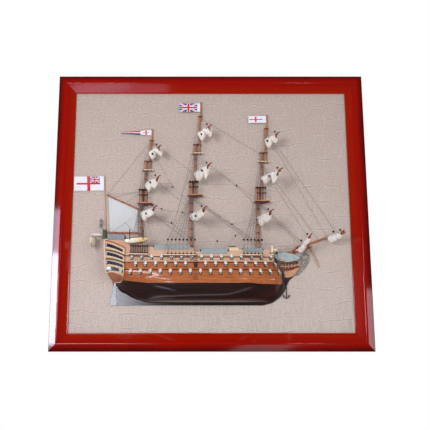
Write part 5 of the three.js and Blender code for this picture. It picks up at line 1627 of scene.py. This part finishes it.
def sail_sheet(name, corners, finish, node, out, billow, phase=0.0):
    """A thin cloth between four corners (x, z): hoist foot, hoist head, fly head, fly foot."""
    a, b, c, d = [Vector(corner) for corner in corners]

    def place(u, v):
        x, z = lerp(lerp(a, d, u), lerp(b, c, u), v)
        wave = math.sin(u * 7 + v * 2 + phase) * u + 0.4 * noise.noise(Vector((u * 4, v * 4, phase)))
        return at(x, out + billow * wave, z)

    bm = start_mesh()
    verts = lattice(bm, evenly(48), evenly(24), place)
    if a.x > d.x:
        bmesh.ops.reverse_faces(bm, faces=faces_of(verts))
    area = sum(face.calc_area() for face in bm.faces) * MM * MM
    cloth = finish_piece(name, bm, finish, [node], SHIP, 70, wall=0.4, inward=False)


def build_driver(lines):
    """Gaff, boom and driver sail with their lifts and sheets."""
    out, boom_level, clear = 2.4, 202, 2.7
    jaw, head = at(78.2, out, 270), at(-14, out, 312)
    bm = start_mesh()
    rod(bm, jaw, head, 2.4, 1.8, 14)
    for share in evenly(4, 0.05, 0.95):
        spot = lerp(jaw, head, share)
        rod(bm, spot, spot + (head - jaw).normalized() * 1.6, 2.8, sides=14, tone=1)
    block(bm, (76, 84), (0.5, 4.5), (266, 272), 0.6, 1)
    finish_piece("gaff", bm, [BOOM_WOOD, CAP_WOOD], ["driver_gaff"], sharp=40)
    bm = start_mesh()
    rod(bm, at(77.2, out, boom_level), at(-8, out, boom_level), 2.4, 1.8, 14)
    for share in evenly(4, 0.05, 0.95):
        x = lerp(77, -8, share)
        rod(bm, at(x, out, boom_level), at(x - 1.6, out, boom_level), 2.8, sides=14, tone=1)
    finish_piece("boom", bm, [BOOM_WOOD, CAP_WOOD], ["driver_boom"], sharp=40)
    slope = (head.z - jaw.z) / (head.x - jaw.x)

    def head_at(x):
        return jaw.z + slope * (x - jaw.x) - clear * math.hypot(1, slope)

    foot = boom_level + clear
    corners = [(-3, foot), (-10, head_at(-10)), (76.2, head_at(76.2)), (75.2, foot)]
    sail_sheet("driver_canvas", corners, DRIVER_CLOTH, "driver_sail", out, 0.5,
               1.0)
    rope(lines, [mast_point("mizzen", 0, 318), at(40, 6, 289)], 0.3)
    rope(lines, [mast_point("mizzen", 0, 322), at(5, 6, 305)], 0.3)
    rope(lines, [at(66, 5, 204), at(40, 20, 232)], 0.35)
    rope(lines, [at(2, 4, 204), at(58, 10, 243)], 0.3)


def build_flags():
    """The ensign on its staff and the flags at the heads of the three masts."""
    top, drop, width = 367, 42, 86
    foot, head = at(-14, 2, 198), at(-22, 2, top)
    bm = start_mesh()
    rod(bm, foot, head, 2.0, 1.2, 14)
    lathe(bm, [(0, -1), (1.9, -0.8), (2.2, 0.2), (1.2, 1.4), (0, 1.6)], Matrix.Translation(head), 12)
    finish_piece("ensign_pole", bm, STAFF_WOOD, ["ensign_staff"], sharp=40)

    def hoist(z):
        return foot.x + (head.x - foot.x) * (z - foot.z) / (head.z - foot.z) - 2.3

    low = top - drop
    corners = [
        (hoist(low), low), (hoist(top), top), (hoist(top) - width, top - 1),
        (hoist(top) - width + 1.5, low - 1)]
    ensign = make_flag("ensign_print", ensign_pattern)
    sail_sheet("ensign_cloth", corners, ensign, "flag_ensign", 2.2, 0.9)
    flags = [
        ("pennant", "mizzen", 89, 16, 2.5, make_flag("pennant_print", pennant_pattern)),
        ("flag_main", "main", 61, 26, 26, make_flag("union_print", union_flag_pattern)),
        ("flag_fore", "fore", 52, 21, 21, make_flag("cross_print", cross_pattern)),
    ]
    for phase, (node, mast_name, length, height, fly, finish) in enumerate(flags):
        mast = MASTS[mast_name]
        slant = math.tan(math.radians(mast["lean"]))
        high = mast["levels"][3] - 2
        low = high - height
        middle = (high + low) / 2

        def pole(z):
            return mast["x"] + POLE_X + slant * z - POLE_RADIUS - GAP

        corners = [(pole(low), low), (pole(high), high), (pole(high) - length, middle + fly / 2),
                   (pole(high) - length, middle - fly / 2)]
        sail_sheet(node + "_cloth", corners, finish, node,
                   LOWER_RADIUS, 0.8, 2.0 + phase)


# Boats, stern and head

def build_boat(name, node, place, length, beam, depth):
    """An open boat: planked shell, gunwale, keel and thwarts."""
    def shell(u, s, grow=0.0):
        share = clamp(u)
        to_end = abs(2 * share - 1)
        half = 0.0 if share != u else (beam / 2 + grow) * max(0.12, 1 - to_end ** 2.6)
        keel = depth * 0.35 * to_end ** 3
        width = half * math.sqrt(max(0.0, 1 - (1 - abs(s)) ** 2.2))
        x = lerp(-length / 2, length / 2, share)
        return Vector((x, math.copysign(width, s), lerp(keel, depth, abs(s))))

    bm = start_mesh()
    verts = lattice(bm, [-1, *evenly(28), 2], evenly(16, -1, 1), shell)
    bmesh.ops.remove_doubles(bm, verts=verts, dist=1e-4)
    bmesh.ops.reverse_faces(bm, faces=bm.faces)
    finish_piece(name + "_shell", bm, BOAT_PAINT, [node], place, 40, wall=1.2)
    bm = start_mesh()
    for side in (-1, 1):
        rope(bm, [shell(u, side, 0.3) for u in evenly(24)], 0.8, 8)
    for share in (0.25, 0.5, 0.75):
        x = lerp(-length / 2, length / 2, share)
        half = (beam / 2 - 1) * (1 - abs(2 * share - 1) ** 2.6)
        block(bm, around(x, 2), (-half, half), (depth - 2.4, depth - 1.4), 0.3, 1)
    rope(bm, [shell(u, 0.0) for u in evenly(20)], 0.8, 6)
    finish_piece(name + "_gunwale", bm, [CAP_WOOD, PALE_WOOD], place=place, sharp=40)


def build_stern():
    """The two boats with their davits, and the lantern on its bracket."""
    quarter_out = breadth_at(80, 166) + 4 + 9
    quarter = Matrix.Translation((79, -quarter_out, 168.4)) @ Matrix.Rotation(-math.radians(6), 4, "Y")
    build_boat("quarter_boat", "quarter_boat", SHIP @ quarter, 60, 18, 13.4)
    turn = Matrix.Translation((TAFFRAIL_X - 35.5, -24 - GAP, 160)) @ Matrix.Rotation(math.pi / 2, 4, "Z")
    build_boat("stern_boat", "stern_boat", SHIP @ turn, 48, 16, 27)
    bm = start_mesh()
    for out in (10, 34):
        block(bm, (TAFFRAIL_X - 37, TAFFRAIL_X - 12), (out, out + 3.4), (193.4, 196.6), 0.6)
    finish_piece("stern_davits", bm, BEAM_PAINT)
    bm = start_mesh()
    block(bm, (-21, -11), (4, 18), (182, 210), 1.2)
    block(bm, (-19, -13), (1, 8), (196, 202), 0.6)
    finish_piece("taffrail_bracket", bm, GREEN_TRIM)
    bm = start_mesh()
    lamp = Matrix.Translation(at(-27, 10, 218))
    lathe(bm, [(0, 0), (1.4, 0), (1.8, 1.4), (1.2, 3), (0, 3)], lamp, 8)
    lathe(bm, [(0, 17), (3.4, 17), (3.8, 18), (2.4, 20.5), (1, 22), (1.3, 23.4), (0, 26)], lamp, 8)
    curl = spline([(1.2, 2), (3.4, 7), (4.1, 12), (3.6, 17)], 3)
    for k in range(6):
        turn = lamp @ Matrix.Rotation(k * math.pi / 3, 4, "Z")
        rope(bm, [turn @ Vector((radius, 0, z)) for radius, z in curl], 0.5, 5)
    scroll = spline([(-17, 208), (-22, 212), (-27, 216), (-31, 222), (-30, 227), (-27, 225)], 5)
    rope(bm, [at(x, 10, z) for x, z in scroll], 0.8, 6)
    finish_piece("stern_lantern", bm, LANTERN_METAL, sharp=35)
    bm = start_mesh()
    for x in (62, 98):
        line = spline([(x, 70, 176), (x, 71, 196), (x, 74, 203), (x, 77, 200)], 4)
        rope(bm, [at(*point) for point in line], 1.0, 8)
        rope(bm, [at(x, 77, 200), at(x, 77, 182)], 0.4, 5)
    finish_piece("quarter_davits", bm, IRON, sharp=40)


def build_head(blocks, lines):
    """Rails, timbers and netting of the head, figurehead scrolls, anchor and cathead."""
    aft, fore, foot, height = STEM_X + 1, STEM_X + 45, 98, 25

    def rail(u, up, proud=0.0):
        share = max(u, 0.0)
        depth = lerp(KEEL_HALF + 20, KEEL_HALF + 2, share ** 0.7) + 2.4 + proud
        return at(lerp(aft, fore, u), depth, foot + 9 * share ** 1.6 + up * height * lerp(1, 0.7, share))

    bm = start_mesh()
    for up, radius, tone in ((0, 1.7, 0), (0.32, 1.1, 1), (0.66, 1.2, 0), (1, 1.8, 1)):
        rope(bm, [rail(u, up) for u in evenly(14, -0.25, 1.0)], radius, 8, tone)
    for u in evenly(9, 0.0, 0.96):
        rope(bm, [rail(u, up, -0.6) for up in evenly(4)], 0.7, 6, 1 if round(u * 9.4) % 2 else 0)
    for u in evenly(16, 0.03, 0.93):
        rod(bm, rail(u, 0.05, -1), rail(u + 0.05, 0.98, -1), 0.35, sides=5, tone=1)
    verts = lattice(bm, evenly(12), evenly(6), lambda u, up: rail(u, up, -2.2), 2)
    bmesh.ops.solidify(bm, geom=faces_of(verts), thickness=0.8)
    finishes = [DARK_WOOD, PALE_WOOD, CAP_WOOD]
    finish_piece("head_timbers", bm, finishes, ["head_rails"], sharp=40)

    bm = start_mesh()
    lens = spline([
        (452, 140), (464, 146), (492, 145), (520, 138), (530, 129), (510, 121), (488, 118),
        (468, 124), (456, 133)], 4)
    plate(bm, lens, (21, 23.4), 0.8)
    rim = [at(x, 22.4, z) for x, z in lens]
    rope(bm, [*rim, rim[0]], 0.9, 6, 1)
    finish_piece("head_netting", bm, [HEAD_NET, GREEN_TRIM])

    bm = start_mesh()
    scrolls = [
        ([(538, 137), (543, 146), (556, 140), (558, 129), (553, 117), (545, 104), (535, 94),
          (525, 85), (515, 83)], 1.7, 4.4),
        ([(537, 138), (539, 126), (536, 114), (529, 103), (519, 95), (515, 86)], 1.1, 3.0),
        ([(541, 142), (548, 134), (545, 124), (541, 129), (545, 132)], 0.9, 5.2),
        ([(552, 130), (547, 119), (541, 112), (545, 110)], 1.3, 5.4),
        ([(543, 108), (534, 104), (529, 97), (533, 94)], 1.3, 5.4),
        ([(530, 98), (522, 93), (520, 87), (526, 88)], 1.2, 5.2),
    ]
    for points, radius, out in scrolls:
        line = spline(points, 5)
        for k, (a, b) in enumerate(zip(line, line[1:])):
            thick = radius * (1 - 0.35 * k / len(line))
            rod(bm, at(a[0], out, a[1]), at(b[0], out, b[1]), thick, sides=8)
            ball(bm, at(b[0], out, b[1]), thick, detail=1)
    beads = [
        (551, 141, 2.2), (555, 131, 1.9), (549, 121, 2.0), (541, 112, 1.9), (532, 102, 1.8),
        (523, 91, 1.8)]
    for x, z, size in beads:
        ball(bm, at(x, 5.0, z), size, (1, 0.8, 1))
    finish_piece("figurehead_scrolls", bm, SILVER, ["figurehead"], sharp=50)

    bm = start_mesh()
    x, ring, length, reach = STEM_X + 9, BEAKHEAD_LEVEL - 34, 56, 8.5
    crown = ring - length
    out = KEEL_HALF + GAP + 1.3
    rod(bm, at(x, out, ring), at(x, out, crown), 1.3, 1.1, 10)
    for side in (-1, 1):
        tip_x, tip_z = x + side * reach, crown + 7
        arm = spline([(x, crown), (x + side * 4.5, crown + 1), (tip_x, tip_z)], 5)
        rope(bm, [at(px, out, pz) for px, pz in arm], 1.1, 8)
        fluke = [(tip_x + side * dx, tip_z + dz) for dx, dz in ((-4, -1), (0.6, -3.4), (0.8, 2.6))]
        plate(bm, fluke, around(out, 1.4), 0.3)
    block(bm, around(x, 7), around(out, 1.2), (ring - 10.5, ring - 8.5), 0.6, 1)
    ball(bm, at(x, out, ring + 1), 1.9, (1, 0.5, 1))
    finish_piece("bower_anchor", bm, [IRON, BLACK_WOOD], ["anchor"], sharp=40)
    rope(lines, [at(x, out, ring + 1), at(STEM_X - 26, 40, 137)], 0.6)
    rope(lines, [at(x, out, ring + 1), at(STEM_X - 8, 15, 100)], 0.6)

    bm = start_mesh()
    block(bm, (446, 452), (44, 50), (136, 160), 0.8)
    block(bm, (450, 464), (44, 49), (148, 153), 0.8)
    ball(bm, at(449, 47, 161), 3.2, (1, 1, 0.7))
    block(bm, (445, 453), (43, 51), (140, 142.4), 0.4, 1)
    finish_piece("cathead", bm, [CREAM_TRIM, DARK_WOOD])
    for x, z in ((462, 141), (459, 118)):
        ball(blocks, at(x, 44, z), 3.2, (1, 0.8, 1.1))
    rope(lines, [at(462, 46, 150), at(462, 44, 141), at(470, 36, 112), at(484, 20, 92)], 0.6)
    rope(lines, [at(459, 44, 118), at(478, 24, 88)], 0.6)


def build_deck_fittings():
    """The belfry, the posts at the breaks of the decks and the gratings on the decks."""
    bm = start_mesh()
    for x, rise in ((96, 18), (232, 10)):
        z = top_at(x)
        skin = breadth_at(x, z)
        block(bm, around(x, 2.4), (skin - 5, skin + 0.6), (z - 4, z + rise), 0.8)
        ball(bm, at(x, skin - 2.2, z + rise + 1), 3, (1, 1, 0.7))
    for x in (334, 346):
        block(bm, around(x, 1.4), (40, 43), (139, 160), 0.5, 1)
    block(bm, (330, 350), (38, 45), (159, 161.5), 0.6, 2)
    block(bm, (332, 358), (46, 52), (148, 156), 0.8, 1)
    finish_piece("rail_posts", bm, [PALE_WOOD, CREAM_TRIM, GREEN_TRIM])
    bm = start_mesh()
    for deck, (low, high) in zip(DECKS, ((20, 60), (120, 190), (262, 312), (350, 390))):
        z = deck["top"] - DECK_DROP
        block(bm, (low, high), (6, 24), (z, z + 1.6), 0.4)
        for x in evenly(round((high - low) / 3.4), low + 1.6, high - 1.6):
            block(bm, around(x, 0.6), (7, 23), (z + 1.6, z + 2.3), 0, 1)
        for out in evenly(4, 8, 22):
            block(bm, (low + 1, high - 1), around(out, 0.5), (z + 1.6, z + 2.2), 0, 1)
    finish_piece("deck_gratings", bm, [DARK_WOOD, CAP_WOOD])


# Standing and running rigging

def build_shrouds(blocks, lines):
    """Shrouds with their deadeyes and ratlines, futtock shrouds and backstays of each mast."""
    for name, mast in MASTS.items():
        aft, fore = channel_span(mast)
        top, crosstrees = mast["levels"][:2]
        lanyard = 21 if name == "mizzen" else 40
        feet, heads = [], []
        for x in evenly(mast["shrouds"] - 1, aft + 14 if name == "main" else aft + 6, fore - 3):
            level = rail_at(x) + 3.6
            out = breadth_at(x, level) + 6.6
            lower, upper = at(x, out, level + 2.2), at(x, out - 2, level + lanyard)
            deadeye(blocks, lower, 2.6, 2.08)
            deadeye(blocks, upper, 3.1, 2.48)
            laced, thick, sides = (blocks, 0.7, 5) if name == "mizzen" else (lines, 0.2, 4)
            for shift in (Vector((-0.9, 0, 0)), Vector((0.9, 0, 0))):
                rod(laced, lower + shift, upper + shift, thick, sides=sides)
            chain_foot = at(x, breadth_at(x, level - 22) + 1.2, level - 22)
            rod(lines, at(x, out, level), chain_foot, 0.32, sides=5)
            feet.append(upper)
            heads.append(mast_point(name, 0, top - 3, 3 + 0.4 * len(heads), lerp(-3, 3, len(heads) / 8)))
        for a, b in zip(feet, heads):
            rod(lines, a, b, 0.42, 0.36, 5)
        rungs = round((top - 175) / 8)
        for k in range(1, rungs):
            share = k / rungs
            row = [lerp(a, b, share) for a, b in zip(feet, heads)]
            rope(lines, row, 0.2, 4)
        uppers = [mast_point(name, 0, top + 39, 22.5, shift) for shift in evenly(3, *TOP_SHROUDS)]
        peaks = [mast_point(name, 1, crosstrees - 1, 3.5, shift) for shift in evenly(3, -2, 2)]
        for a, b in zip(uppers, peaks):
            rod(lines, a, b, 0.34, 0.3, 5)
        for k in range(1, 8):
            rope(lines, [lerp(a, b, k / 8) for a, b in zip(uppers, peaks)], 0.18, 4)
        catch = mast_point(name, 0, top - 26, 5)
        for shift in evenly(3, *TOP_SHROUDS):
            rod(lines, mast_point(name, 0, top + 1, 23, shift), catch, 0.32, sides=5)
        feet = [
            at(x, breadth_at(x, rail_at(aft)) + 6, rail_at(aft) + 4) for x in (aft + 3, aft + 9)]
        spread = mast_point(name, 1, crosstrees + 2, 15, -8)
        rope(lines, [mast_point(name, 1, crosstrees), feet[0]], 0.34, 5)
        head = mast_point(name, 2, mast["levels"][2] - 6)
        rope(lines, [head, spread, feet[1] + Vector((4, 0, 0))], 0.34, 5)


def build_stays(blocks, lines):
    """Stays between the masts and to the bowsprit, and the braces with the blocks they turn at."""
    def place(end):
        """A point of a mast by its name, a plain point, or a point of a spar as it is."""
        if isinstance(end, Vector):
            return end
        return mast_point(*end) if end[0] in MASTS else at(*end)

    stays = [
        (("mizzen", 2, 470), ("main", 1, 374, 0, -4), 0.4),
        (("mizzen", 1, 380), ("main", 0, 272, 0, -5), 0.42),
        (("mizzen", 0, 282), ("main", 0, 178, 0, -6), 0.5),
        (("main", 2, 543), ("fore", 1, 432, 0, -4), 0.4),
        (("main", 1, 430), ("fore", 0, 300, 0, -5), 0.42),
        (("main", 0, 304), ("fore", 0, 166, 0, -6), 0.55),
        (("main", 0, 309), ("fore", 0, 174, 4, -6), 0.55),
        (("fore", 2, 507), on_spar(190, 11), 0.4),
        (("fore", 2, 500), on_spar(160, 11), 0.35),
        (("fore", 1, 405), on_spar(134, 11), 0.42),
        (("fore", 1, 398), on_spar(112, 11), 0.35),
        (("fore", 0, 288), on_spar(86, 5), 0.55),
        (("fore", 0, 293), on_spar(94, 5), 0.5),
        (("mizzen", 2, 470), (-14, 5, 312), 0.4),
        (("mizzen", 0, 320), (-14, 5, 312), 0.35),
        (("fore", 0, 240, 20), (342.9, 8, 226.4), 0.3),
    ]
    for start, end, radius in stays:
        rod(lines, place(start), place(end), radius * 0.85, sides=5)
    runs = [
        [("mizzen", 2, 450), (174.4, 12, 333.5), ("main", 0, 286, 0, -5)],
        [("mizzen", 0, 268, 40, 20), (143.5, 12, 270.1), (202.2, 12, 260),
         ("main", 0, 256, 0, -5)],
        [("mizzen", 0, 262), (171.1, 8, 230.4), ("main", 0, 190, 0, -6)],
        [("main", 1, 420), (356.7, 12, 336.7), ("fore", 0, 280, 0, -5)],
        [("main", 0, 300), (342.9, 8, 226.4), ("fore", 0, 180, 0, -6)],
        [("main", 0, 250, 60, 20), (300, 30, 176), (290, 50, 152)],
        [("fore", 0, 242, 70, 10), (350, 40, 190), (318, 50, 152)],
    ]
    for run in runs:
        rope(lines, [place(end) for end in run], 0.3, 5)
        for end in run:
            if end[0] not in MASTS:
                ball(blocks, place(end), 2.5, (1, 0.8, 1.1))
    rope(lines, [on_spar(98, -4), at(STEM_X + 30, 8, 104)], 0.5)
    rope(lines, [at(452, 48, 158), on_spar(100, 6)], 0.4)
    rope(lines, [at(452, 40, 150), on_spar(78, 6)], 0.35)


def main():
    make_camera()
    make_world()
    make_lights()
    make_floor()
    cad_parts["backing_panel"].data.materials.clear()
    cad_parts["backing_panel"].data.materials.append(BOARD)
    build_frame()
    build_linen()
    build_hull()
    build_keel()
    build_ports()
    build_side_trim()
    build_gallery()
    build_rudder()
    blocks, lines = start_mesh(), start_mesh()
    for name in MASTS:
        build_mast(name)
    build_yards(blocks, lines)
    build_bowsprit(blocks)
    build_driver(lines)
    build_flags()
    build_stern()
    build_head(blocks, lines)
    build_deck_fittings()
    build_shrouds(blocks, lines)
    build_stays(blocks, lines)
    finish_piece("rigging_lines", lines, THREAD, sharp=60)
    finish_piece("blocks_and_deadeyes", blocks, BLACK_WOOD, sharp=40)


main()
